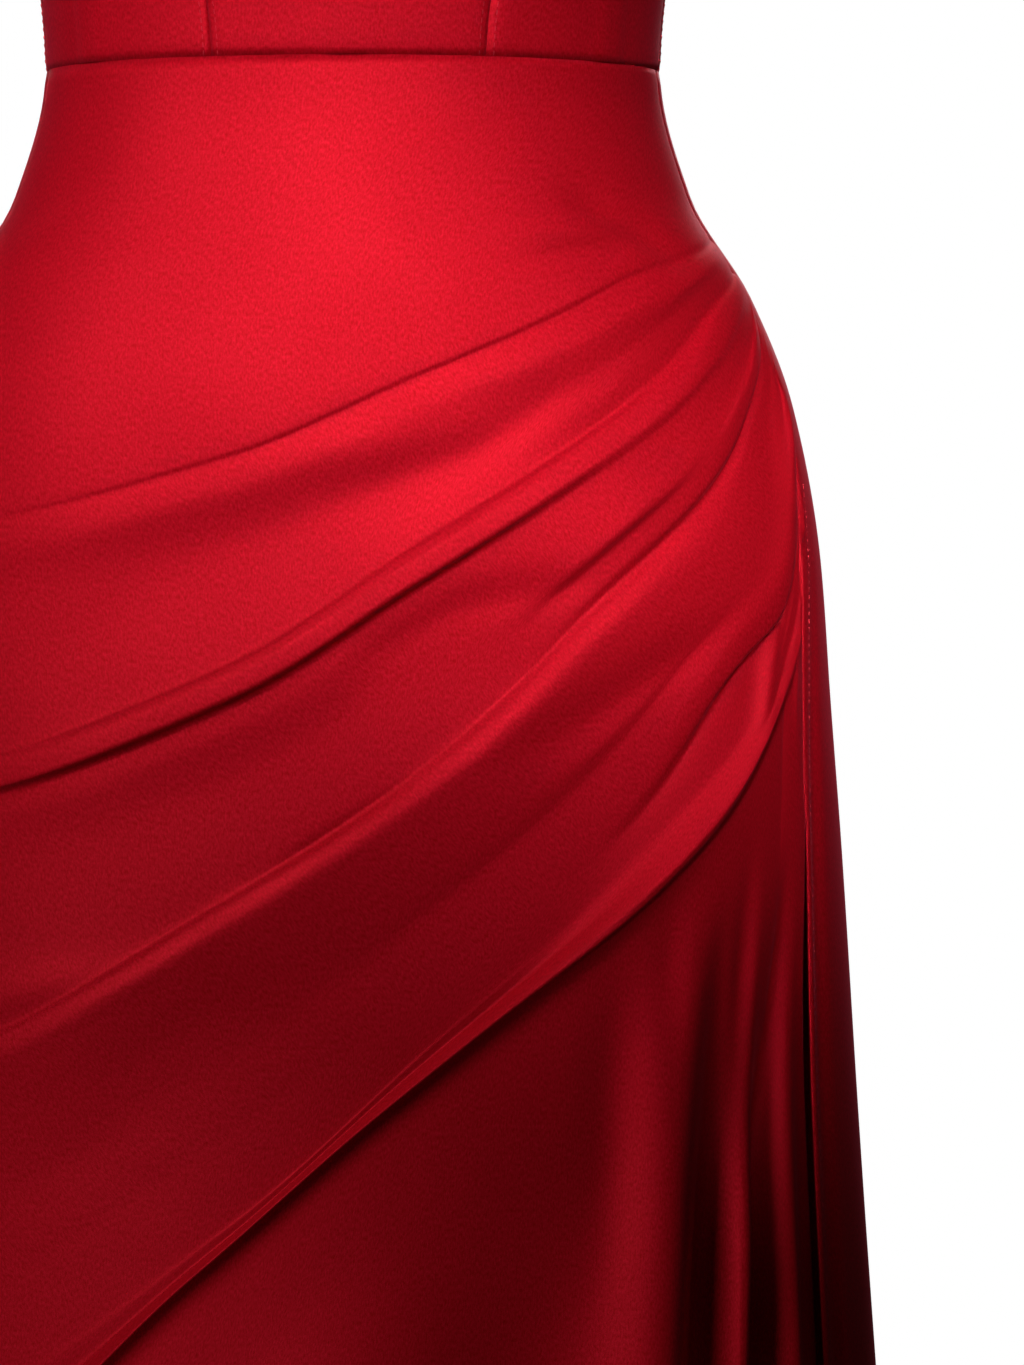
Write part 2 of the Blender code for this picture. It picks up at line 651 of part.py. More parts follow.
def build():
    for item in list(bpy.data.objects):
        bpy.data.objects.remove(item)
    gown = bpy.data.collections.new("satin_corset_gown")
    cutters = bpy.data.collections.new("cutters")
    bpy.context.scene.collection.children.link(gown)
    bpy.context.scene.collection.children.link(cutters)
    add_skirt(gown)
    add_bodice(gown)
    add_zip_tape(gown)
    add_zip_slider(gown, cutters)


build()
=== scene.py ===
"""Looks of the satin corset gown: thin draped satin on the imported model, with its sewing, light and camera.

Metres, +Z up. The gown's front faces -Y and the wearer's left side is +X. A bearing is an angle round the
gown: 0 is the wearer's left side, 90 the centre front, 180 the right side and 270 the centre back.
"""

import math

import bmesh
import bpy
import numpy as np
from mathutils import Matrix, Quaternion, Vector


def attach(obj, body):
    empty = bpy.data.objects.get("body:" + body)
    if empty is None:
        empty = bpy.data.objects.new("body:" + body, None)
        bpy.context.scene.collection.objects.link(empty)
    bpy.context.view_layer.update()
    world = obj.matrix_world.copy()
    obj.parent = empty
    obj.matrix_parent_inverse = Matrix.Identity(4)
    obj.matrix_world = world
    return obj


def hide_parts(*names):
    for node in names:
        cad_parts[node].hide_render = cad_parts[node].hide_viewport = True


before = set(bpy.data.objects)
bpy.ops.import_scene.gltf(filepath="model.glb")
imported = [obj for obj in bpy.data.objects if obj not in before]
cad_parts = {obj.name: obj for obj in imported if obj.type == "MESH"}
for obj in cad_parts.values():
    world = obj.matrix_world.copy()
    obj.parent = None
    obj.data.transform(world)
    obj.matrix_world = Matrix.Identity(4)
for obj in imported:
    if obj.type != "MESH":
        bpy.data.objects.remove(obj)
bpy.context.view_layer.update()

# General sizes
SATIN_WALL = 0.0007
CORSET_CLOTH_WALL = 0.0016
SEAM_GAP = 0.00001
WAIST_HEIGHT = 0.0
HEM_HEIGHT = -1.120
RIGHT_SEAM_BEARING = 172.0
CENTRE_BACK_BEARING = 270.0
MEAN_RADIUS = 0.165
BODICE_RADIUS = 0.12
BACK_SEAM_GAP_SHARE = 1.3
SAME_WITHIN = 1e-6

# The gown's own form, as level sections
# height, half width, front depth, back depth
FORM = (
    (0.235, 0.149, 0.113, 0.097),
    (0.180, 0.147, 0.112, 0.096),
    (0.120, 0.140, 0.104, 0.093),
    (0.060, 0.129, 0.095, 0.088),
    (0.000, 0.123, 0.092, 0.086),
    (-0.050, 0.135, 0.099, 0.104),
    (-0.090, 0.159, 0.106, 0.121),
    (-0.134, 0.176, 0.112, 0.132),
    (-0.195, 0.187, 0.117, 0.140),
    (-0.251, 0.191, 0.120, 0.141),
    (-0.304, 0.195, 0.123, 0.143),
    (-0.421, 0.203, 0.131, 0.149),
    (-0.600, 0.216, 0.144, 0.161),
    (-0.800, 0.231, 0.160, 0.178),
    (-1.120, 0.254, 0.186, 0.206),
)

# The left side seam, which opens into the slit
# height, bearing
LEFT_SEAM = (
    (0.000, 8.0),
    (-0.067, 8.5),
    (-0.095, 9.5),
    (-0.150, 13.0),
    (-0.187, 16.5),
    (-0.240, 20.0),
    (-0.300, 23.0),
    (-0.420, 26.5),
    (-0.700, 29.0),
    (-1.120, 31.0),
)
SLIT_TOP = -0.283
SLIT_EDGE_IN = 0.0032
SLIT_EDGE_SHARE = 0.045
SLIT_OPEN_LENGTH = 0.110
SLIT_FRONT_BACK_OFF = 0.0003

# Fold lines of the draped front, from the left seam across to the right one
# bearing, height, for each station; the first and last bearings are those of the seams
FOLD_LINES = {
    "first_pleat": (
        (8.5, -0.0669), (43.9, -0.0848), (60.1, -0.1019), (80.4, -0.1257),
        (104.8, -0.1577), (138.0, -0.1800), (172.0, -0.1860),
    ),
    "tube": (
        (9.0, -0.0800), (27.5, -0.0950), (48.5, -0.1286), (63.2, -0.1541),
        (81.6, -0.1891), (103.9, -0.2355), (138.0, -0.2720), (172.0, -0.2820),
    ),
    "third_pleat": (
        (9.5, -0.0939), (19.5, -0.1164), (26.3, -0.1323), (37.3, -0.1627), (58.6, -0.2119),
        (76.9, -0.2644), (103.5, -0.3253), (138.0, -0.3820), (172.0, -0.3980),
    ),
    "bulge": (
        (10.5, -0.1098), (16.0, -0.1260), (21.0, -0.1556), (28.0, -0.2157), (37.3, -0.2385),
        (52.5, -0.2912), (75.0, -0.3500), (103.0, -0.4230), (138.0, -0.4880), (172.0, -0.5050),
    ),
    "gathers": (
        (12.5, -0.1310), (19.0, -0.1540), (22.3, -0.1830), (29.5, -0.2311), (35.4, -0.2553),
        (53.5, -0.3080), (78.0, -0.3740), (103.0, -0.4500), (138.0, -0.5210), (172.0, -0.5400),
    ),
    "band_edge": (
        (15.7, -0.1680), (22.0, -0.1950), (25.4, -0.2283), (31.3, -0.2546), (40.5, -0.2887),
        (52.3, -0.3220), (74.2, -0.3760), (87.7, -0.4130), (106.0, -0.4700), (138.0, -0.5600),
        (172.0, -0.5850),
    ),
}

# Rows of cloth that follow the fold lines
# line, distance below it, largest share of the way to the next line,
# relief at the seam, near it and far from it
FOLD_ROWS = (
    ("waist", 0.000, 0.00, 0.0000, 0.0000, 0.0000),
    ("waist", 1.000, 0.17, 0.0000, 0.0000, 0.0000),
    ("waist", 1.000, 0.34, 0.0000, 0.0003, 0.0004),
    ("waist", 1.000, 0.51, 0.0000, 0.0005, 0.0008),
    ("waist", 1.000, 0.67, 0.0000, 0.0007, 0.0011),
    ("first_pleat", -0.014, 0.25, 0.0000, 0.0008, 0.0012),
    ("first_pleat", -0.003, 0.08, 0.0000, 0.0006, 0.0009),
    ("first_pleat", 0.000, 0.00, -0.0002, -0.0002, 0.0001),
    ("first_pleat", 0.0045, 0.18, 0.0004, 0.0009, 0.0008),
    ("first_pleat", 0.012, 0.38, 0.0006, 0.0018, 0.0011),
    ("first_pleat", 0.034, 0.60, 0.0004, -0.0004, -0.0026),
    ("tube", -0.008, 0.20, 0.0002, -0.0008, -0.0006),
    ("tube", 0.000, 0.00, -0.0002, -0.0014, 0.0002),
    ("tube", 0.0035, 0.10, 0.0006, 0.0006, 0.0024),
    ("tube", 0.0075, 0.19, 0.0008, 0.0018, 0.0040),
    ("tube", 0.0130, 0.32, 0.0009, 0.0024, 0.0042),
    ("tube", 0.0175, 0.43, 0.0008, 0.0014, -0.0006),
    ("tube", 0.0250, 0.56, 0.0006, 0.0016, -0.0008),
    ("tube", 0.0450, 0.70, 0.0006, 0.0026, -0.0032),
    ("third_pleat", -0.016, 0.22, 0.0008, 0.0034, -0.0036),
    ("third_pleat", -0.004, 0.08, 0.0006, 0.0030, -0.0038),
    ("third_pleat", 0.000, 0.00, -0.0004, 0.0000, -0.0036),
    ("third_pleat", 0.0045, 0.14, 0.0004, 0.0018, -0.0006),
    ("third_pleat", 0.0110, 0.30, 0.0006, 0.0032, 0.0010),
    ("third_pleat", 0.0200, 0.42, 0.0008, 0.0046, -0.0004),
    ("third_pleat", 0.0420, 0.58, 0.0008, 0.0062, -0.0042),
    ("bulge", -0.034, 0.34, 0.0008, 0.0070, -0.0056),
    ("bulge", -0.014, 0.18, 0.0008, 0.0084, -0.0060),
    ("bulge", -0.0045, 0.07, 0.0006, 0.0076, -0.0062),
    ("bulge", 0.000, 0.00, 0.0000, 0.0022, -0.0062),
    ("bulge", 0.008, 0.30, 0.0004, 0.0032, -0.0062),
    ("gathers", 0.000, 0.00, 0.0006, 0.0037, -0.0062),
    ("gathers", 0.007, 0.22, 0.0006, 0.0041, -0.0060),
    ("band_edge", -0.030, 0.50, 0.0006, 0.0044, -0.0062),
    ("band_edge", -0.014, 0.30, 0.0006, 0.0055, -0.0028),
    ("band_edge", -0.004, 0.10, 0.0006, 0.0063, 0.0000),
    ("band_edge", 0.000, 0.00, 0.0004, 0.0052, 0.0008),
    ("band_edge", 0.0045, 0.013, 0.0000, 0.0012, -0.0028),
    ("band_edge", 0.0140, 0.04, -0.0004, -0.0008, -0.0040),
    ("band_edge", 1.000, 0.09, 0.0, -0.0016, -0.0034),
    ("band_edge", 1.000, 0.17, 0.0, -0.0012, -0.0020),
    ("band_edge", 1.000, 0.27, 0.0, 0.0, 0.0),
    ("band_edge", 1.000, 0.40, 0.0, 0.0, 0.0),
    ("band_edge", 1.000, 0.55, 0.0, 0.0, 0.0),
    ("band_edge", 1.000, 0.70, 0.0, 0.0, 0.0),
    ("band_edge", 1.000, 0.85, 0.0, 0.0, 0.0),
    ("hem", 0.000, 0.00, 0.0, 0.0, 0.0),
)

# How far across each fold reaches, as shares of its line: near the seam, then far from it, then gone
# line, full from, far from, far by, fades from, gone by
FOLD_REACH = {
    "waist": (0.20, 0.20, 0.50, 0.60, 1.00),
    "first_pleat": (0.20, 0.20, 0.50, 0.56, 0.98),
    "tube": (0.16, 0.27, 0.44, 0.62, 0.99),
    "third_pleat": (0.10, 0.14, 0.44, 0.66, 0.99),
    "bulge": (0.09, 0.14, 0.42, 0.72, 0.99),
    "gathers": (0.08, 0.16, 0.42, 0.72, 0.99),
    "band_edge": (0.08, 0.20, 0.45, 0.72, 0.99),
    "hem": (0.20, 0.20, 0.50, 0.60, 1.00),
}
SEAM_FOLLOW_SHARE = 0.40

# Soft flutes that hang below the band
# bearing and height at the top, bearing at the hem, half width at the top and hem, relief at the hem
FRONT_FLUTES = (
    (40.5, -0.290, 70.0, 0.014, 0.032, 0.024),
    (35.5, -0.300, 63.0, 0.007, 0.015, -0.022),
    (31.0, -0.305, 58.0, 0.005, 0.012, 0.018),
    (27.0, -0.310, 54.0, 0.006, 0.013, -0.022),
    (24.0, -0.330, 46.0, 0.005, 0.012, 0.012),
    (62.0, -0.400, 86.0, 0.026, 0.032, -0.016),
    (84.0, -0.450, 102.0, 0.028, 0.036, 0.018),
    (108.0, -0.500, 120.0, 0.028, 0.034, -0.016),
    (130.0, -0.560, 140.0, 0.028, 0.036, 0.020),
    (152.0, -0.600, 158.0, 0.022, 0.028, -0.012),
)
BACK_FLUTES = (
    (352.0, -0.300, 349.0, 0.022, 0.030, -0.013),
    (330.0, -0.330, 327.0, 0.028, 0.036, 0.018),
    (308.0, -0.360, 306.0, 0.028, 0.034, -0.015),
    (286.0, -0.380, 285.0, 0.028, 0.036, 0.014),
    (254.0, -0.380, 255.0, 0.028, 0.036, 0.014),
    (232.0, -0.360, 234.0, 0.028, 0.034, -0.015),
    (210.0, -0.330, 213.0, 0.028, 0.036, 0.018),
    (188.0, -0.300, 191.0, 0.022, 0.030, -0.013),
)
FLUTE_FULL_LENGTH = 0.18
FLUTE_START_SHARE = 0.45
FLUTE_BELOW_BAND = 0.06
FLUTE_AT_SLIT_SHARE = 0.15
BACK_FLUTE_EDGE_SHARE = 0.10
BACK_FIRST_BEARING = 20.0

# Grids of the sheets
NEAR_SEAM_SHARE = 0.16
NEAR_SEAM_COLUMNS = 60
FRONT_COLUMNS = 120
FRONT_ROWS_PER_GAP = 5
BACK_MIDDLE_HEIGHT = -0.30
BACK_UPPER_ROWS = 61
BACK_LOWER_ROWS = 100
BACK_LEFT_COLUMNS = 140
BACK_RIGHT_COLUMNS = 110
BODICE_ROWS = 60
BODICE_WIDE_COLUMNS = 70
BODICE_SIDE_COLUMNS = 46

# Bodice: the cups and the top edge
# bearing, height of the top edge
TOP_EDGE = (
    (-90.0, 0.120),
    (-50.0, 0.128),
    (-10.0, 0.150),
    (20.0, 0.178),
    (40.0, 0.206),
    (55.0, 0.214),
    (72.0, 0.200),
    (84.0, 0.170),
    (90.0, 0.160),
)
CUP_BEARING = 52.0
CUP_HEIGHT = 0.140
CUP_HALF_ANGLE = 21.0
CUP_HALF_HEIGHT = 0.052
CUP_RELIEF = 0.017
PRINCESS_SEAM_OFFSET = 40.0
PRINCESS_SEAM_OFFSET_WAIST = 26.0
PRINCESS_SEAM_SPREAD_BY = 0.8
BODICE_SIDE_BEARING = 4.0

# Sewing
STITCH_LENGTH = 0.0023
STITCH_PITCH = 0.0032
STITCH_RADIUS = 0.00022
SLIT_STITCH_IN = 0.0058
HEM_STITCH_UP = 0.022
TOP_STITCH_DOWN = 0.0035
SEAM_STITCH_AWAY = 0.0030
SEAM_VALLEY_DEPTH = 0.0007
SEAM_VALLEY_WIDTH = 0.0028
SEAM_VALLEY_END = 0.02
SLIT_ROLL_HEIGHT = 0.0011
SLIT_ROLL_WIDTH = 0.0020
SLIT_TROUGH_DEPTH = 0.0022
SLIT_TROUGH_IN = 0.0115
SLIT_TROUGH_WIDTH = 0.0050

# Where the slit's roll and trough begin and are full, below the slit's top
SLIT_ROLL_SPAN = (-0.05, 0.05)
SLIT_TROUGH_SPAN = (-0.12, 0.02)

# How far cloth rows of the front lean down over the next, so that a fold's edge overhangs its groove
# line, distance as in the row table, lean near the seam, lean far from it
ROW_LEANS = (
    ("first_pleat", -0.003, 0.0006, 0.0006),
    ("tube", 0.0130, 0.0, 0.0012),
    ("third_pleat", 0.0045, -0.0006, -0.0004),
    ("bulge", -0.0045, 0.0018, 0.0),
    ("band_edge", -0.004, 0.0006, 0.0006),
    ("band_edge", 0.000, 0.0014, 0.0010),
)

# Soft creases placed one by one
# from bearing and height, to bearing and height, half width, relief
FRONT_CREASES = (
    (64.0, -0.0730, 42.0, -0.0640, 0.0045, 0.0016),
    (66.0, -0.0800, 44.0, -0.0730, 0.0045, -0.0014),
    (50.0, -0.0560, 32.0, -0.0740, 0.0090, -0.0022),
    (96.0, -0.0560, 74.0, -0.0980, 0.0160, 0.0010),
    (76.0, -0.2120, 88.0, -0.2360, 0.0060, -0.0012),
    (62.0, -0.2060, 76.0, -0.2140, 0.0060, -0.0011),
    (82.0, -0.2810, 97.0, -0.3130, 0.0026, -0.0012),
    (44.0, -0.2270, 67.0, -0.2700, 0.0080, -0.0020),
    (29.5, -0.2240, 34.0, -0.2570, 0.0040, 0.0022),
    (50.0, -0.3400, 52.0, -0.4100, 0.0070, -0.0016),
    (58.0, -0.3680, 61.0, -0.4700, 0.0090, -0.0018),
    (70.0, -0.1400, 90.0, -0.1600, 0.0070, 0.0012),
    (112.0, -0.2100, 134.0, -0.2380, 0.0070, -0.0012),
    (118.0, -0.3560, 142.0, -0.3720, 0.0090, 0.0013),
    (120.0, -0.1050, 146.0, -0.1210, 0.0100, -0.0010),
    (128.0, -0.0500, 150.0, -0.0700, 0.0080, 0.0009),
    (14.2, -0.1260, 19.2, -0.1880, 0.0016, 0.0017),
    (19.2, -0.1880, 22.8, -0.2450, 0.0016, 0.0015),
    (16.6, -0.1400, 21.4, -0.1940, 0.0014, -0.0013),
    (21.4, -0.1940, 24.0, -0.2300, 0.0014, -0.0012),
    (37.5, -0.3400, 43.0, -0.4400, 0.0050, -0.0050),
    (29.5, -0.3380, 37.0, -0.4400, 0.0048, -0.0052),
    (92.0, -0.6200, 96.0, -0.9000, 0.0120, 0.0014),
    (126.0, -0.7000, 128.0, -0.9600, 0.0120, -0.0016),
)
BACK_CREASES = (
    (-60.0, -0.0500, -40.0, -0.0650, 0.0080, 0.0010),
    (-74.0, -0.0900, -52.0, -0.1080, 0.0100, -0.0010),
    (-34.0, -0.1500, -12.0, -0.1700, 0.0090, 0.0011),
    (-8.0, -0.3600, -10.0, -0.6200, 0.0080, 0.0012),
    (-44.0, -0.5200, -46.0, -0.8200, 0.0100, -0.0014),
    (-70.0, -0.6000, -70.0, -0.9400, 0.0100, 0.0013),
    (236.0, -0.0600, 220.0, -0.0740, 0.0080, 0.0009),
    (250.0, -0.1000, 226.0, -0.1180, 0.0100, -0.0011),
    (206.0, -0.1600, 190.0, -0.1900, 0.0090, 0.0010),
    (224.0, -0.5400, 226.0, -0.8600, 0.0110, -0.0014),
    (246.0, -0.6400, 247.0, -0.9000, 0.0100, 0.0012),
    (196.0, -0.5000, 198.0, -0.8000, 0.0090, 0.0012),
)
CREASE_TAPER = 0.35
LEAN_FULL_RELIEF = 0.003

# Camera, light and floor
PIXELS_PER_METRE = 2500.0
FRAME_WIDTH_PX = 1024
FRAME_HEIGHT_PX = 1365
BODY_MIDDLE_PX = 353.0
PHOTO_TOP_PX = 198.0
PHOTO_TOP_HEIGHT = -0.050
CAMERA_DISTANCE = 3.0
SENSOR = 36.0
KEY_PLACE = (0.12, -1.50, 0.60)
KEY_TARGET = (0.12, -0.10, -0.055)
KEY_SIZE = (0.85, 0.43)
KEY_ENERGY = 0.74
KEY_SPREAD = 10.0
KEY_ROLL = -16.0
SIDE_PLACE = (0.80, -1.45, 0.42)
SIDE_TARGET = (0.150, -0.06, -0.140)
SIDE_SIZE = (0.26, 0.22)
SIDE_ENERGY = 0.075
SIDE_SPREAD = 9.0
FILL_PLACE = (-1.8, -2.1, 1.2)
FILL_SIZE = (1.6, 1.6)
FILL_ENERGY = 42.0
BACK_PLACE = (0.2, 2.9, 1.2)
BACK_SIZE = (2.4, 1.8)
BACK_ENERGY = 60.0
AMBIENT_STRENGTH = 0.022
FLOOR_HALF_SIZE = 4.0
FLOOR_GLOW = 0.7
FLOOR_BELOW_HEM = 0.012
FLOOR_DEEP = (0.70, 0.70, 0.69)
FLOOR_LIGHT = (0.76, 0.76, 0.75)
FLOOR_PER_METRE = 3.0
FLOOR_DETAIL = 4.0
FLOOR_LOOK = {"Roughness": 0.85, "Emission Strength": FLOOR_GLOW}
SEEN_COLOUR = (1.0, 1.0, 1.0, 1.0)
SEEN_STRENGTH = 1.0
AMBIENT_COLOUR = (1.0, 0.98, 0.97, 1.0)
KEY_COLOUR = (1.0, 0.98, 0.97)
FILL_COLOUR = (1.0, 0.99, 0.98)
CLIP_END = 50.0

# Satin and thread
# ramps: where the deep colour ends and the light one begins; bumps: depth in metres and strength
SATIN_LIGHT = (0.62, 0.0050, 0.0200)
SATIN_DEEP = (0.40, 0.0006, 0.0022)
SATIN_ROUGHNESS = 0.55
SATIN_RAMP = (0.34, 0.66)
SATIN_ROUGHNESS_SPREAD = (-0.03, 0.04)
SATIN_LOOK = {
    "Metallic": 0.35,
    "Specular IOR Level": 0.28,
    "Specular Tint": (1.0, 0.28, 0.40, 1.0),
    "Sheen Weight": 0.14,
    "Sheen Roughness": 0.45,
    "Sheen Tint": (1.0, 0.10, 0.20, 1.0),
}
GRAIN_PER_METRE = 1300.0
GRAIN_STRETCH = (1.0, 0.45, 1.0)
GRAIN_DETAIL = 2.0
GRAIN_SHARE = 0.65
GRAIN_BUMP = (0.00018, 0.32)
MOTTLE_PER_METRE = 560.0
MOTTLE_DETAIL = 3.0
MOTTLE_SHARE = 0.35
CLOUD_PER_METRE = 22.0
CLOUD_DETAIL = 2.0
CLOUD_BUMP = (0.0016, 0.25)
NOISE_MIDDLE = (0.3, 0.7)
THREAD_LIGHT = (0.62, 0.020, 0.038)
THREAD_DEEP = (0.42, 0.006, 0.018)
THREAD_LOOK = {"Roughness": 0.6, "Specular IOR Level": 0.2}
THREAD_PER_METRE = 4000.0
THREAD_DETAIL = 1.0

# Zip
TAPE_DEEP = (0.20, 0.003, 0.010)
TAPE_LIGHT = (0.34, 0.006, 0.016)
TAPE_RIBS = 300.0
TAPE_BUMP = (0.0002, 0.5)
TAPE_LOOK = {"Roughness": 0.75}
LACQUER_DEEP = (0.44, 0.008, 0.020)
LACQUER_LIGHT = (0.52, 0.020, 0.032)
LACQUER_RAMP = (0.35, 0.75)
LACQUER_ROUGHNESS = (0.26, 0.34)
LACQUER_LOOK = {"Metallic": 0.4}
WEAR_PER_METRE = 220.0
WEAR_DETAIL = 2.0

# Bones and the slit's stitches
SLIT_STITCH_FROM = -0.165
BONE_RELIEF = 0.0006
BONE_HALF_SHARE = 0.09
BONE_FLAT_PART = 0.5


def pchip(known, values, wanted):
    """A smooth curve through the known values that never overshoots them."""
    known = np.asarray(known, float)
    values = np.asarray(values, float)
    if known[0] > known[-1]:
        known, values = known[::-1], values[::-1]
    step = np.diff(known)
    slope = np.diff(values) / step
    tangent = np.zeros(len(known))
    for i in range(1, len(known) - 1):
        if slope[i - 1] * slope[i] > 0:
            before = 2 * step[i] + step[i - 1]
            after = step[i] + 2 * step[i - 1]
            tangent[i] = (before + after) / (before / slope[i - 1] + after / slope[i])
    tangent[0] = slope[0]
    tangent[-1] = slope[-1]
    wanted = np.clip(np.asarray(wanted, float), known[0], known[-1])
    i = np.clip(np.searchsorted(known, wanted) - 1, 0, len(step) - 1)
    t = (wanted - known[i]) / step[i]
    start = (1 + 2 * t) * (1 - t) ** 2 * values[i] + t * (1 - t) ** 2 * step[i] * tangent[i]
    end = t * t * (3 - 2 * t) * values[i + 1] + t * t * (t - 1) * step[i] * tangent[i + 1]
    return start + end


def ease(low, high, value):
    """A soft step from 0 at the low value to 1 at the high one."""
    t = np.clip((np.asarray(value, float) - low) / (high - low), 0.0, 1.0)
    return t * t * (3 - 2 * t)


def turn_of(length, radius):
    """The turn in degrees that a length round the gown makes at a radius."""
    return length / radius * 180 / math.pi


def length_of(turn, radius):
    """The length round the gown that a turn in degrees covers at a radius."""
    return turn * math.pi / 180 * radius


def steady(bearing):
    """A seam that keeps to one bearing."""
    return lambda place: bearing + 0.0 * place


def form_column(height, column):
    return pchip([row[0] for row in FORM], [row[column] for row in FORM], height)


def on_form(bearing, height):
    """Points of the gown's plain form, as an array of x, y, z."""
    turn = np.radians(bearing)
    front = form_column(height, 2)
    back = form_column(height, 3)
    depth = np.where(np.sin(turn) >= 0, front, back)
    half_width = form_column(height, 1)
    level = np.asarray(height, float)
    return np.stack([half_width * np.cos(turn), -depth * np.sin(turn), level], axis=-1)


def outward(bearing, height):
    """Unit directions straight out of the form."""
    small_turn = 0.5
    small_rise = 0.002
    around = on_form(bearing + small_turn, height) - on_form(bearing - small_turn, height)
    rise = on_form(bearing, height + small_rise) - on_form(bearing, height - small_rise)
    direction = np.cross(rise, around)
    return direction / np.linalg.norm(direction, axis=-1, keepdims=True)


def raised(bearing, height, relief):
    """Points that stand out of the form by the relief."""
    return on_form(bearing, height) + outward(bearing, height) * relief[..., None]


def left_seam_bearing(height):
    return pchip([row[0] for row in LEFT_SEAM], [row[1] for row in LEFT_SEAM], height)


def flute_relief(bearing, height, flutes):
    """Soft flutes, growing from nothing at their tops to their full relief below."""
    relief = np.zeros(np.broadcast(bearing, height).shape)
    for top_bearing, top, hem_bearing, top_width, hem_width, full in flutes:
        share = np.clip((top - height) / (top - HEM_HEIGHT), 0.0, 1.0)
        centre = top_bearing + (hem_bearing - top_bearing) * np.sqrt(share)
        width = top_width + (hem_width - top_width) * share
        grown = ease(0.0, FLUTE_FULL_LENGTH, top - height)
        grown = grown * (FLUTE_START_SHARE + (1 - FLUTE_START_SHARE) * share)
        away = length_of(bearing - centre, MEAN_RADIUS)
        relief = relief + full * grown * np.exp(-((away / width) ** 2))
    return relief


def fold_line(name, across):
    """Bearing and height of a fold line at shares of the way across the front."""
    if name == "waist":
        start = float(left_seam_bearing(WAIST_HEIGHT))
        bearing = start + (RIGHT_SEAM_BEARING - start) * across
        return bearing, np.full_like(across, WAIST_HEIGHT - SEAM_GAP)
    if name == "hem":
        start = float(left_seam_bearing(HEM_HEIGHT))
        bearing = start + (RIGHT_SEAM_BEARING - start) * across
        return bearing, np.full_like(across, HEM_HEIGHT)
    stations = np.array(FOLD_LINES[name])
    along = np.radians(stations[:, 0]) * MEAN_RADIUS
    steps = np.hypot(np.diff(along), np.diff(stations[:, 1]))
    share = np.concatenate([[0.0], np.cumsum(steps)])
    share /= share[-1]
    bearing = pchip(share, stations[:, 0], across)
    height = pchip(share, stations[:, 1], across)
    return bearing, height


LINE_ORDER = ("waist",) + tuple(FOLD_LINES) + ("hem",)
# The cloth row at the foot of the band, counted from the last one
BAND_FOOT_ROW = -9


def front_rows(across):
    """Bearing, height and relief of each cloth row of the draped front."""
    lines = {name: fold_line(name, across) for name in LINE_ORDER}
    bearings, heights, reliefs = [], [], []
    for name, distance, cap, seam_relief, near_relief, far_relief in FOLD_ROWS:
        here = lines[name]
        index = LINE_ORDER.index(name)
        other = here
        if distance > 0:
            other = lines[LINE_ORDER[index + 1]]
        if distance < 0:
            other = lines[LINE_ORDER[index - 1]]
        gap = np.hypot(np.radians(other[0] - here[0]) * MEAN_RADIUS, other[1] - here[1])
        share = np.minimum(cap, abs(distance) / np.maximum(gap, SAME_WITHIN))
        bearings.append(here[0] + (other[0] - here[0]) * share)
        heights.append(here[1] + (other[1] - here[1]) * share)
        full_from, far_from, far_by, fades_from, gone_by = FOLD_REACH[name]
        rise = ease(0.0, full_from, across)
        far = ease(far_from, far_by, across)
        fall = 1 - ease(fades_from, gone_by, across)
        relief = seam_relief + (near_relief - seam_relief) * rise + (far_relief - near_relief) * far
        reliefs.append(relief * fall)
    return np.array(bearings), np.array(heights), np.array(reliefs)


def slit_setback(height):
    """How far the front's free edge falls in behind the back's edge, below the slit's top."""
    return SLIT_EDGE_IN * ease(0.0, SLIT_OPEN_LENGTH, SLIT_TOP - height)


def crease_relief(bearing, height, creases):
    """Soft troughs and ridges, each one tapering out at both ends."""
    along = np.radians(bearing) * MEAN_RADIUS
    relief = np.zeros(np.broadcast(bearing, height).shape)
    for start_bearing, start_height, end_bearing, end_height, width, full in creases:
        start = np.array([math.radians(start_bearing) * MEAN_RADIUS, start_height])
        end = np.array([math.radians(end_bearing) * MEAN_RADIUS, end_height])
        run = end - start
        length = float(np.hypot(*run))
        share = ((along - start[0]) * run[0] + (height - start[1]) * run[1]) / length**2
        away = np.abs((along - start[0]) * run[1] - (height - start[1]) * run[0]) / length
        begun = ease(-CREASE_TAPER, CREASE_TAPER, share)
        ended = ease(1 - CREASE_TAPER, 1 + CREASE_TAPER, share)
        relief = relief + full * np.exp(-((away / width) ** 2)) * (begun * (1 - ended))
    return relief


def valley(distance):
    """The soft dip of the cloth into a sewn seam."""
    return -SEAM_VALLEY_DEPTH * np.exp(-((distance / SEAM_VALLEY_WIDTH) ** 2))


def above_slit(height):
    """1 where the left seam is sewn, falling to 0 just below the slit's top."""
    return 1 - ease(0.0, SEAM_VALLEY_END, SLIT_TOP - height)


def slit_edge_roll(distance, height):
    """The turned edge of the slit: a rolled edge, then a trough where it is stitched down."""
    below_top = ease(*SLIT_ROLL_SPAN, SLIT_TOP - height)
    roll = SLIT_ROLL_HEIGHT * np.exp(-(((distance - SLIT_ROLL_WIDTH) / SLIT_ROLL_WIDTH) ** 2))
    trough = SLIT_TROUGH_DEPTH * np.exp(-(((distance - SLIT_TROUGH_IN) / SLIT_TROUGH_WIDTH) ** 2))
    return below_top * roll - trough * ease(*SLIT_TROUGH_SPAN, SLIT_TOP - height)


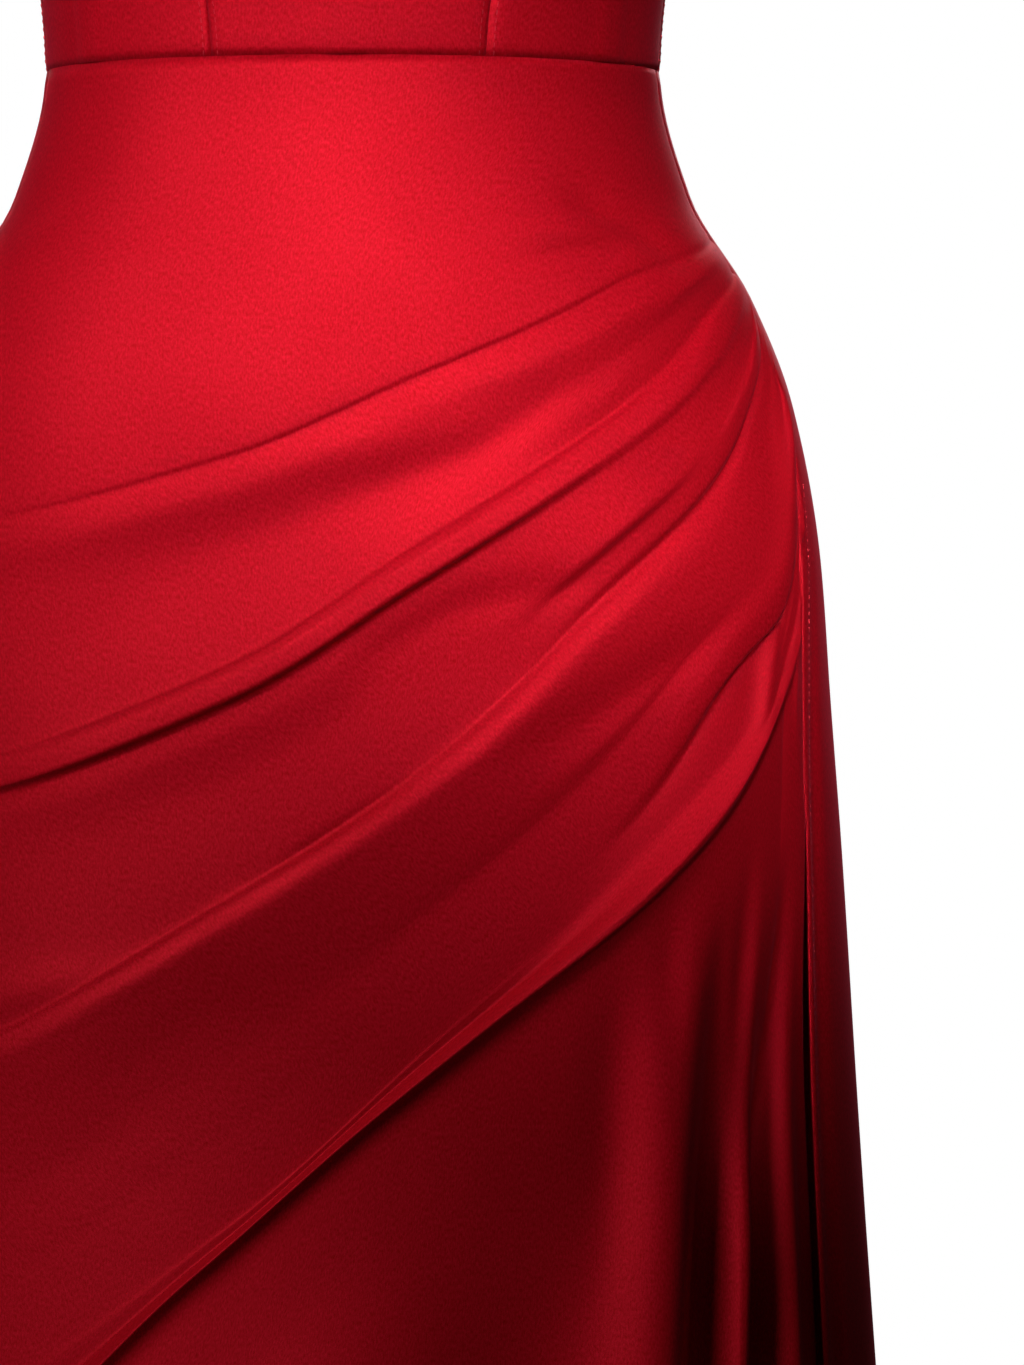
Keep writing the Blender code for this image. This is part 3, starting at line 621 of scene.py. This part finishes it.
def row_leans(across):
    """Lean of every cloth row at every share of the way across, in the row table's order."""
    leans = []
    for name, distance, _, _, _, _ in FOLD_ROWS:
        near_lean, far_lean = 0.0, 0.0
        for row in ROW_LEANS:
            if row[0] == name and abs(row[1] - distance) < SAME_WITHIN:
                near_lean, far_lean = row[2:]
        far = ease(FOLD_REACH[name][1], FOLD_REACH[name][2], across)
        leans.append(near_lean + (far_lean - near_lean) * far)
    return np.array(leans)


def between_rows(values, fine):
    """Smooth values between the cloth rows, column by column."""
    known = np.arange(len(values))
    columns = [pchip(known, values[:, column], fine) for column in range(values.shape[1])]
    return np.stack(columns, axis=1)


def front_surface(across, per_gap):
    """Points of the draped front, with per_gap mesh rows from each cloth row to the next."""
    bearings, heights, reliefs = front_rows(across)
    count = len(FOLD_ROWS)
    fine = np.linspace(0, count - 1, (count - 1) * per_gap + 1)
    bearing = between_rows(bearings, fine)
    height = between_rows(heights, fine)
    relief = between_rows(reliefs, fine)
    to_seam = left_seam_bearing(height[:, :1]) - bearing[:, :1]
    bearing = bearing + to_seam * (1 - ease(0.0, SEAM_FOLLOW_SHARE, across[None, :]))
    below_band = ease(0.0, FLUTE_BELOW_BAND, heights[BAND_FOOT_ROW][None, :] - height)
    edge = np.exp(-((across[None, :] / SLIT_EDGE_SHARE) ** 2))
    flutes = flute_relief(bearing, height, FRONT_FLUTES) * below_band
    relief = relief + flutes * (1 - (1 - FLUTE_AT_SLIT_SHARE) * edge)
    relief = relief - slit_setback(height) * edge
    relief = relief + crease_relief(bearing, height, FRONT_CREASES)
    from_left = length_of(bearing - left_seam_bearing(height), MEAN_RADIUS)
    from_right = length_of(RIGHT_SEAM_BEARING - bearing, MEAN_RADIUS)
    relief = relief + valley(from_left) * above_slit(height) + valley(from_right)
    relief = relief + valley(WAIST_HEIGHT - height)
    bearing = bearing + turn_of(SEAM_GAP / 2, MEAN_RADIUS) * (1 - 2 * across[None, :])
    open_by = SLIT_FRONT_BACK_OFF * ease(0.0, SLIT_OPEN_LENGTH, SLIT_TOP - height) * edge
    bearing = bearing + turn_of(open_by, MEAN_RADIUS)
    down = np.gradient(on_form(bearing, height), axis=0)
    down /= np.linalg.norm(down, axis=-1, keepdims=True)
    lean = between_rows(row_leans(across), fine)
    lean = lean * np.clip(relief / LEAN_FULL_RELIEF, 0.0, 1.0)
    return raised(bearing, height, relief) + down * lean[..., None]


def back_surface(from_bearing, to_bearing, heights, columns, slit_side):
    """Points of a plain back panel between two edges, each a function of height."""
    share = np.linspace(0, 1, columns)[None, :]
    height = np.array(heights)[:, None] * np.ones_like(share)
    start = from_bearing(height)
    end = to_bearing(height)
    bearing = start + (end - start) * share
    round_back = np.mod(bearing - BACK_FIRST_BEARING, 360.0) + BACK_FIRST_BEARING
    relief = flute_relief(round_back, height, BACK_FLUTES)
    relief = relief * ease(0.0, BACK_FLUTE_EDGE_SHARE, np.minimum(share, 1 - share))
    from_start = length_of(bearing - start, MEAN_RADIUS)
    from_end = length_of(end - bearing, MEAN_RADIUS)
    relief = relief + crease_relief(bearing, height, BACK_CREASES) + valley(from_start)
    relief = relief + valley(WAIST_HEIGHT - height)
    if slit_side:
        relief = relief + valley(from_end) * above_slit(height)
        relief = relief + slit_edge_roll(from_end, height)
    else:
        relief = relief + valley(from_end)
    return raised(bearing, height, relief)


def mirrored(bearing):
    return 180.0 - bearing


def top_edge_height(bearing):
    """Height of the bodice's top edge, the same on both sides."""
    folded = np.mod(np.asarray(bearing, float) + 90.0, 360.0) - 90.0
    folded = np.where(folded > 90.0, 180.0 - folded, folded)
    return pchip([row[0] for row in TOP_EDGE], [row[1] for row in TOP_EDGE], folded)


def cup_relief(bearing, height):
    relief = 0.0
    for centre in (CUP_BEARING, mirrored(CUP_BEARING)):
        round_it = ((bearing - centre) / CUP_HALF_ANGLE) ** 2
        over_it = ((height - CUP_HEIGHT) / CUP_HALF_HEIGHT) ** 2
        relief = relief + CUP_RELIEF * np.exp(-round_it - over_it)
    return relief


def bodice_surface(start_edge, end_edge, columns, rows):
    """Points of a bodice panel between two seams, each a function of the share of the way up."""
    share = np.linspace(0, 1, columns)[None, :]
    up = np.linspace(0, 1, rows)[:, None]
    half_gap = turn_of(SEAM_GAP / 2, BODICE_RADIUS)
    start = start_edge(up) + half_gap
    end = end_edge(up) - half_gap
    bearing = start + (end - start) * share
    height = up * top_edge_height(bearing)
    relief = cup_relief(bearing, height)
    from_start = length_of(bearing - start, BODICE_RADIUS)
    from_end = length_of(end - bearing, BODICE_RADIUS)
    relief = relief + valley(from_start) + valley(from_end) + valley(height)
    relief = relief + bone_relief(share)
    return raised(bearing, height, relief)


def bone_relief(share):
    """A flat bone in its casing under the satin, down the middle of a panel."""
    from_middle = np.abs(share - 0.5) / BONE_HALF_SHARE
    return BONE_RELIEF * (1 - ease(BONE_FLAT_PART, 1.0, from_middle))


def princess_seam(up):
    """Bearing of the left princess seam, which runs from the waist over the cup's inner half."""
    spreading = PRINCESS_SEAM_OFFSET - PRINCESS_SEAM_OFFSET_WAIST
    return 90.0 - PRINCESS_SEAM_OFFSET_WAIST - spreading * ease(0.0, PRINCESS_SEAM_SPREAD_BY, up)


def right_princess_seam(up):
    return mirrored(princess_seam(up))


def link(socket_from, socket_to, tree):
    tree.links.new(socket_from, socket_to)


def noise(tree, vector, scale, detail):
    node = tree.nodes.new("ShaderNodeTexNoise")
    node.inputs["Scale"].default_value = scale
    node.inputs["Detail"].default_value = detail
    link(vector, node.inputs["Vector"], tree)
    return node.outputs["Fac"]


def spread(tree, value, low, high):
    """Maps the middle of a noise value to low..high."""
    node = tree.nodes.new("ShaderNodeMapRange")
    node.inputs["From Min"].default_value = NOISE_MIDDLE[0]
    node.inputs["From Max"].default_value = NOISE_MIDDLE[1]
    node.inputs["To Min"].default_value = low
    node.inputs["To Max"].default_value = high
    link(value, node.inputs["Value"], tree)
    return node.outputs["Result"]


def bump(tree, height, distance, strength, normal=None):
    node = tree.nodes.new("ShaderNodeBump")
    node.inputs["Strength"].default_value = strength
    node.inputs["Distance"].default_value = distance
    link(height, node.inputs["Height"], tree)
    if normal is not None:
        link(normal, node.inputs["Normal"], tree)
    return node.outputs["Normal"]


def colours(tree, value, deep, light, places=(0.0, 1.0)):
    """A ramp from the deep colour to the light one."""
    node = tree.nodes.new("ShaderNodeValToRGB")
    for index, colour in enumerate((deep, light)):
        node.color_ramp.elements[index].position = places[index]
        node.color_ramp.elements[index].color = (*colour, 1.0)
    link(value, node.inputs["Fac"], tree)
    return node.outputs["Color"]


def times(tree, value, share, added=None):
    """The value times a share, with another value added where one is given."""
    node = tree.nodes.new("ShaderNodeMath")
    node.operation = "MULTIPLY" if added is None else "MULTIPLY_ADD"
    link(value, node.inputs[0], tree)
    node.inputs[1].default_value = share
    if added is not None:
        link(added, node.inputs[2], tree)
    return node.outputs["Value"]


def new_material(name, look):
    """A material with the look's values on its shader."""
    material = bpy.data.materials.new(name)
    material.use_nodes = True
    tree = material.node_tree
    shader = tree.nodes["Principled BSDF"]
    for name_of_input, value in look.items():
        shader.inputs[name_of_input].default_value = value
    return material, tree, shader


def object_place(tree):
    return tree.nodes.new("ShaderNodeTexCoord").outputs["Object"]


def satin_material(name):
    """Dyed satin: a fine grain of warp floats, a soft mottle and a broad red sheen."""
    material, tree, shader = new_material(name, SATIN_LOOK)
    place = tree.nodes.new("ShaderNodeUVMap").outputs["UV"]
    grain_place = tree.nodes.new("ShaderNodeMapping")
    grain_place.inputs["Scale"].default_value = GRAIN_STRETCH
    link(place, grain_place.inputs["Vector"], tree)
    grain = noise(tree, grain_place.outputs["Vector"], GRAIN_PER_METRE, GRAIN_DETAIL)
    mottle = noise(tree, place, MOTTLE_PER_METRE, MOTTLE_DETAIL)
    cloud = noise(tree, place, CLOUD_PER_METRE, CLOUD_DETAIL)
    both = times(tree, grain, GRAIN_SHARE, times(tree, mottle, MOTTLE_SHARE))
    link(colours(tree, both, SATIN_DEEP, SATIN_LIGHT, SATIN_RAMP), shader.inputs["Base Color"], tree)
    smoothest = SATIN_ROUGHNESS + SATIN_ROUGHNESS_SPREAD[0]
    roughest = SATIN_ROUGHNESS + SATIN_ROUGHNESS_SPREAD[1]
    link(spread(tree, cloud, smoothest, roughest), shader.inputs["Roughness"], tree)
    soft = bump(tree, cloud, *CLOUD_BUMP)
    link(bump(tree, grain, *GRAIN_BUMP, soft), shader.inputs["Normal"], tree)
    return material


def thread_material():
    """Sewing thread a little lighter than the satin, with its twist as fine bands."""
    material, tree, shader = new_material("thread", THREAD_LOOK)
    twist = noise(tree, object_place(tree), THREAD_PER_METRE, THREAD_DETAIL)
    link(colours(tree, twist, THREAD_DEEP, THREAD_LIGHT), shader.inputs["Base Color"], tree)
    return material


def tape_material():
    """Woven zip tape: a fine even rib across its width."""
    material, tree, shader = new_material("zip_tape_weave", TAPE_LOOK)
    rib = tree.nodes.new("ShaderNodeTexWave")
    rib.bands_direction = "Z"
    rib.inputs["Scale"].default_value = TAPE_RIBS
    link(object_place(tree), rib.inputs["Vector"], tree)
    ribs = rib.outputs["Fac"]
    link(colours(tree, ribs, TAPE_DEEP, TAPE_LIGHT), shader.inputs["Base Color"], tree)
    link(bump(tree, ribs, *TAPE_BUMP), shader.inputs["Normal"], tree)
    return material


def lacquer_material():
    """Zip metal lacquered red, slightly worn."""
    material, tree, shader = new_material("zip_lacquer", LACQUER_LOOK)
    wear = noise(tree, object_place(tree), WEAR_PER_METRE, WEAR_DETAIL)
    link(colours(tree, wear, LACQUER_DEEP, LACQUER_LIGHT, LACQUER_RAMP), shader.inputs["Base Color"], tree)
    link(spread(tree, wear, *LACQUER_ROUGHNESS), shader.inputs["Roughness"], tree)
    return material


def grid_normals(points):
    """Outward unit directions over a grid of points."""
    direction = np.cross(np.gradient(points, axis=0), np.gradient(points, axis=1))
    if float((direction[..., :2] * points[..., :2]).sum()) < 0:
        direction = -direction
    return direction / np.linalg.norm(direction, axis=-1, keepdims=True)


def run_lengths(points, axis):
    steps = np.linalg.norm(np.diff(points, axis=axis), axis=-1)
    shape = list(steps.shape)
    shape[axis] = 1
    return np.concatenate([np.zeros(shape), np.cumsum(steps, axis=axis)], axis=axis)


def add_cloth(name, points, wall, material):
    """A thin cloth sheet through a grid of points, its texture place measured along the cloth in metres."""
    rows, columns = points.shape[:2]
    outward_way = grid_normals(points)
    first = np.cross(points[1, 0] - points[0, 0], points[0, 1] - points[0, 0])
    turned = float(np.dot(first, outward_way[0, 0])) < 0
    corner = (np.arange(rows - 1)[:, None] * columns + np.arange(columns - 1)[None, :]).reshape(-1)
    faces = np.stack([corner, corner + columns, corner + columns + 1, corner + 1], axis=1)
    if turned:
        faces = faces[:, ::-1]
    mesh = bpy.data.meshes.new(name)
    mesh.from_pydata(points.reshape(-1, 3).tolist(), [], faces.tolist())
    mesh.polygons.foreach_set("use_smooth", [True] * len(mesh.polygons))
    width_run = run_lengths(points, 1)
    length_run = run_lengths(points, 0)
    width_run = width_run + (width_run[:, -1:].max() - width_run[:, -1:]) / 2
    place = np.stack([width_run, length_run], axis=-1).reshape(-1, 2)
    layer = mesh.uv_layers.new(name="UVMap")
    layer.data.foreach_set("uv", place[faces.reshape(-1)].reshape(-1))
    mesh.update()
    cloth = bpy.data.objects.new(name, mesh)
    bpy.context.scene.collection.objects.link(cloth)
    thick = cloth.modifiers.new("wall", "SOLIDIFY")
    thick.thickness = wall
    thick.offset = -1.0
    mesh.materials.append(material)
    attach(cloth, "gown")
    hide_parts(name[: -len("_satin")])
    return cloth


def at_distance(distance, runs, lines):
    """What each line of a grid holds at a set distance along it."""
    found = []
    for run, line in zip(runs, lines):
        found.append([np.interp(distance, run, line[:, axis]) for axis in range(3)])
    return np.array(found)


def inside_edge(points, edge, distance):
    """Points and outward directions a set distance in from one edge of a grid."""
    if edge == "start":
        lines = points
    elif edge == "end":
        lines = points[:, ::-1]
    elif edge == "first":
        lines = points.transpose(1, 0, 2)
    else:
        lines = points[::-1].transpose(1, 0, 2)
    ways = grid_normals(lines)
    runs = run_lengths(lines, 1)
    return at_distance(distance, runs, lines), at_distance(distance, runs, ways)


def along_path(wanted, run, values):
    return np.stack([np.interp(wanted, run, values[:, axis]) for axis in range(3)], axis=1)


def even_steps(path, ways, step):
    """Starts, ends and outward directions of stitches spaced evenly along a path."""
    run = np.concatenate([[0.0], np.cumsum(np.linalg.norm(np.diff(path, axis=0), axis=1))])
    wanted = np.arange(0.0, run[-1] - step, step)
    place = along_path(wanted, run, path)
    ahead = along_path(wanted + STITCH_LENGTH, run, path)
    way = along_path(wanted + STITCH_LENGTH / 2, run, ways)
    return place, ahead, way / np.linalg.norm(way, axis=1, keepdims=True)


# share of the stitch's length, thickness, lift off the cloth
STITCH_RINGS = ((0.0, 0.35, -0.6), (0.2, 0.9, 0.35), (0.5, 1.0, 0.75), (0.8, 0.9, 0.35), (1.0, 0.35, -0.6))
STITCH_SIDES = 6


def add_stitches(name, lines, material):
    """Rows of stitches, each one a short thread that rises from the cloth and dips back into it."""
    vertices, faces = [], []
    for path, ways in lines:
        for start, end, way in zip(*even_steps(path, ways, STITCH_PITCH)):
            forward = end - start
            side = np.cross(forward, way)
            side /= np.linalg.norm(side)
            base = len(vertices)
            for share, size, lift in STITCH_RINGS:
                middle = start + forward * share + way * lift * STITCH_RADIUS
                for corner in range(STITCH_SIDES):
                    turn = 2 * math.pi * corner / STITCH_SIDES
                    offset = side * math.cos(turn) + way * math.sin(turn)
                    vertices.append(middle + offset * size * STITCH_RADIUS)
            for ring in range(len(STITCH_RINGS) - 1):
                for corner in range(STITCH_SIDES):
                    here = base + ring * STITCH_SIDES + corner
                    beside = base + ring * STITCH_SIDES + (corner + 1) % STITCH_SIDES
                    faces.append((here, beside, beside + STITCH_SIDES, here + STITCH_SIDES))
            last = base + (len(STITCH_RINGS) - 1) * STITCH_SIDES
            faces.append(tuple(range(base + STITCH_SIDES - 1, base - 1, -1)))
            faces.append(tuple(range(last, last + STITCH_SIDES)))
    mesh = bpy.data.meshes.new(name)
    mesh.from_pydata([tuple(v) for v in vertices], [], faces)
    mesh.polygons.foreach_set("use_smooth", [True] * len(mesh.polygons))
    mesh.materials.append(material)
    thread = bpy.data.objects.new(name, mesh)
    bpy.context.scene.collection.objects.link(thread)
    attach(thread, "gown")
    return thread


def build_gown():
    satin = satin_material("satin")
    thread = thread_material()
    sewn = {}

    near_seam = np.linspace(0, NEAR_SEAM_SHARE, NEAR_SEAM_COLUMNS)
    rest = np.linspace(NEAR_SEAM_SHARE, 1.0, FRONT_COLUMNS + 1)[1:]
    front = front_surface(np.concatenate([near_seam, rest]), FRONT_ROWS_PER_GAP)
    half_gap = turn_of(SEAM_GAP / 2, MEAN_RADIUS)
    back_half_gap = half_gap * BACK_SEAM_GAP_SHARE
    upper = np.linspace(WAIST_HEIGHT - SEAM_GAP, BACK_MIDDLE_HEIGHT, BACK_UPPER_ROWS)
    lower = np.linspace(BACK_MIDDLE_HEIGHT, HEM_HEIGHT, BACK_LOWER_ROWS + 1)[1:]
    heights = np.concatenate([upper, lower])
    left = back_surface(
        steady(CENTRE_BACK_BEARING - 360.0 + back_half_gap),
        lambda height: left_seam_bearing(height) - half_gap,
        heights,
        BACK_LEFT_COLUMNS,
        True,
    )
    right = back_surface(
        steady(RIGHT_SEAM_BEARING + half_gap),
        steady(CENTRE_BACK_BEARING - back_half_gap),
        heights,
        BACK_RIGHT_COLUMNS,
        False,
    )
    sheets = {"skirt_front": front, "skirt_back_left": left, "skirt_back_right": right}
    left_side = steady(BODICE_SIDE_BEARING)
    right_side = steady(mirrored(BODICE_SIDE_BEARING))
    back_left = steady(CENTRE_BACK_BEARING - 360.0)
    back_right = steady(CENTRE_BACK_BEARING)
    # name, start seam, end seam, columns
    panels = (
        ("bodice_centre_front", princess_seam, right_princess_seam, BODICE_WIDE_COLUMNS),
        ("bodice_side_front_left", left_side, princess_seam, BODICE_SIDE_COLUMNS),
        ("bodice_side_front_right", right_princess_seam, right_side, BODICE_SIDE_COLUMNS),
        ("bodice_back_left", back_left, left_side, BODICE_WIDE_COLUMNS),
        ("bodice_back_right", right_side, back_right, BODICE_WIDE_COLUMNS),
    )
    for name, start, end, columns in panels:
        sheets[name] = bodice_surface(start, end, columns, BODICE_ROWS)

    below_slit = left[:, :, 2][:, -1] < SLIT_STITCH_FROM
    path, ways = inside_edge(left, "end", SLIT_STITCH_IN)
    slit_row = (path[below_slit], ways[below_slit])
    sewn["skirt_back_left"] = [slit_row, inside_edge(left, "last", HEM_STITCH_UP)]
    sewn["skirt_back_right"] = [inside_edge(right, "last", HEM_STITCH_UP)]
    sewn["skirt_front"] = [inside_edge(front, "last", HEM_STITCH_UP)]
    for name, _, _, _ in panels:
        points = sheets[name]
        sewn[name] = [
            inside_edge(points, "start", SEAM_STITCH_AWAY),
            inside_edge(points, "end", SEAM_STITCH_AWAY),
            inside_edge(points, "last", TOP_STITCH_DOWN),
        ]

    for name, points in sheets.items():
        wall = CORSET_CLOTH_WALL if name.startswith("bodice") else SATIN_WALL
        cloth = add_cloth(name + "_satin", points, wall, satin)
        stitches = add_stitches(name + "_stitches", sewn[name], thread)

    zip_looks = {"zip_tape": tape_material, "zip_slider": lacquer_material, "zip_pull": lacquer_material}
    for node, look in zip_looks.items():
        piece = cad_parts[node]
        piece.data.materials.clear()
        piece.data.materials.append(look())


def add_light(name, place, target, size, energy, colour, spread_degrees=180.0, roll_degrees=0.0):
    data = bpy.data.lights.new(name, "AREA")
    data.shape = "RECTANGLE"
    data.size, data.size_y = size
    data.energy = energy
    data.color = colour
    data.spread = math.radians(spread_degrees)
    lamp = bpy.data.objects.new(name, data)
    lamp.location = place
    aim = (Vector(target) - Vector(place)).to_track_quat("-Z", "Y")
    lamp.rotation_euler = (aim @ Quaternion((0.0, 0.0, 1.0), math.radians(roll_degrees))).to_euler()
    bpy.context.scene.collection.objects.link(lamp)


def add_floor():
    """A pale floor below the hem, which glows a little and lights nothing else."""
    mesh = bpy.data.meshes.new("floor")
    shape = bmesh.new()
    bmesh.ops.create_grid(shape, x_segments=1, y_segments=1, size=FLOOR_HALF_SIZE)
    shape.to_mesh(mesh)
    shape.free()
    floor = bpy.data.objects.new("floor", mesh)
    floor.location = (0.0, 0.0, HEM_HEIGHT - FLOOR_BELOW_HEM)
    material, tree, shader = new_material("floor_pale", FLOOR_LOOK)
    cloud = noise(tree, object_place(tree), FLOOR_PER_METRE, FLOOR_DETAIL)
    pale = colours(tree, cloud, FLOOR_DEEP, FLOOR_LIGHT)
    link(pale, shader.inputs["Base Color"], tree)
    link(pale, shader.inputs["Emission Color"], tree)
    mesh.materials.append(material)
    floor.visible_diffuse = False
    floor.visible_glossy = False
    bpy.context.scene.collection.objects.link(floor)


def add_world():
    """A pale studio round the gown that the camera sees, with little light of its own on the cloth."""
    world = bpy.data.worlds.new("studio")
    world.use_nodes = True
    tree = world.node_tree
    tree.nodes.clear()
    seen = tree.nodes.new("ShaderNodeBackground")
    seen.inputs["Color"].default_value = SEEN_COLOUR
    seen.inputs["Strength"].default_value = SEEN_STRENGTH
    ambient = tree.nodes.new("ShaderNodeBackground")
    ambient.inputs["Color"].default_value = AMBIENT_COLOUR
    ambient.inputs["Strength"].default_value = AMBIENT_STRENGTH
    path = tree.nodes.new("ShaderNodeLightPath")
    mix = tree.nodes.new("ShaderNodeMixShader")
    out = tree.nodes.new("ShaderNodeOutputWorld")
    link(path.outputs["Is Camera Ray"], mix.inputs["Fac"], tree)
    link(ambient.outputs["Background"], mix.inputs[1], tree)
    link(seen.outputs["Background"], mix.inputs[2], tree)
    link(mix.outputs["Shader"], out.inputs["Surface"], tree)
    bpy.context.scene.world = world


def add_camera():
    """Level with the hips and square to the front, so that its frame is the photograph's."""
    camera = bpy.data.cameras.new("camera")
    camera.sensor_width = SENSOR
    long_side = FRAME_HEIGHT_PX / PIXELS_PER_METRE
    camera.lens = SENSOR * CAMERA_DISTANCE / long_side
    camera.clip_end = CLIP_END
    eye = bpy.data.objects.new("camera", camera)
    across = (FRAME_WIDTH_PX / 2 - BODY_MIDDLE_PX) / PIXELS_PER_METRE
    height = PHOTO_TOP_HEIGHT - (FRAME_HEIGHT_PX / 2 - PHOTO_TOP_PX) / PIXELS_PER_METRE
    eye.location = (across, -CAMERA_DISTANCE, height)
    eye.rotation_euler = (math.pi / 2, 0.0, 0.0)
    bpy.context.scene.collection.objects.link(eye)
    bpy.context.scene.camera = eye


build_gown()
add_floor()
add_world()
add_light("key", KEY_PLACE, KEY_TARGET, KEY_SIZE, KEY_ENERGY, KEY_COLOUR, KEY_SPREAD, KEY_ROLL)
add_light("side", SIDE_PLACE, SIDE_TARGET, SIDE_SIZE, SIDE_ENERGY, KEY_COLOUR, SIDE_SPREAD)
add_light("fill", FILL_PLACE, KEY_TARGET, FILL_SIZE, FILL_ENERGY, FILL_COLOUR)
add_light("back_light", BACK_PLACE, KEY_TARGET, BACK_SIZE, BACK_ENERGY, FILL_COLOUR)
add_camera()
bpy.context.scene.view_settings.view_transform = "Standard"
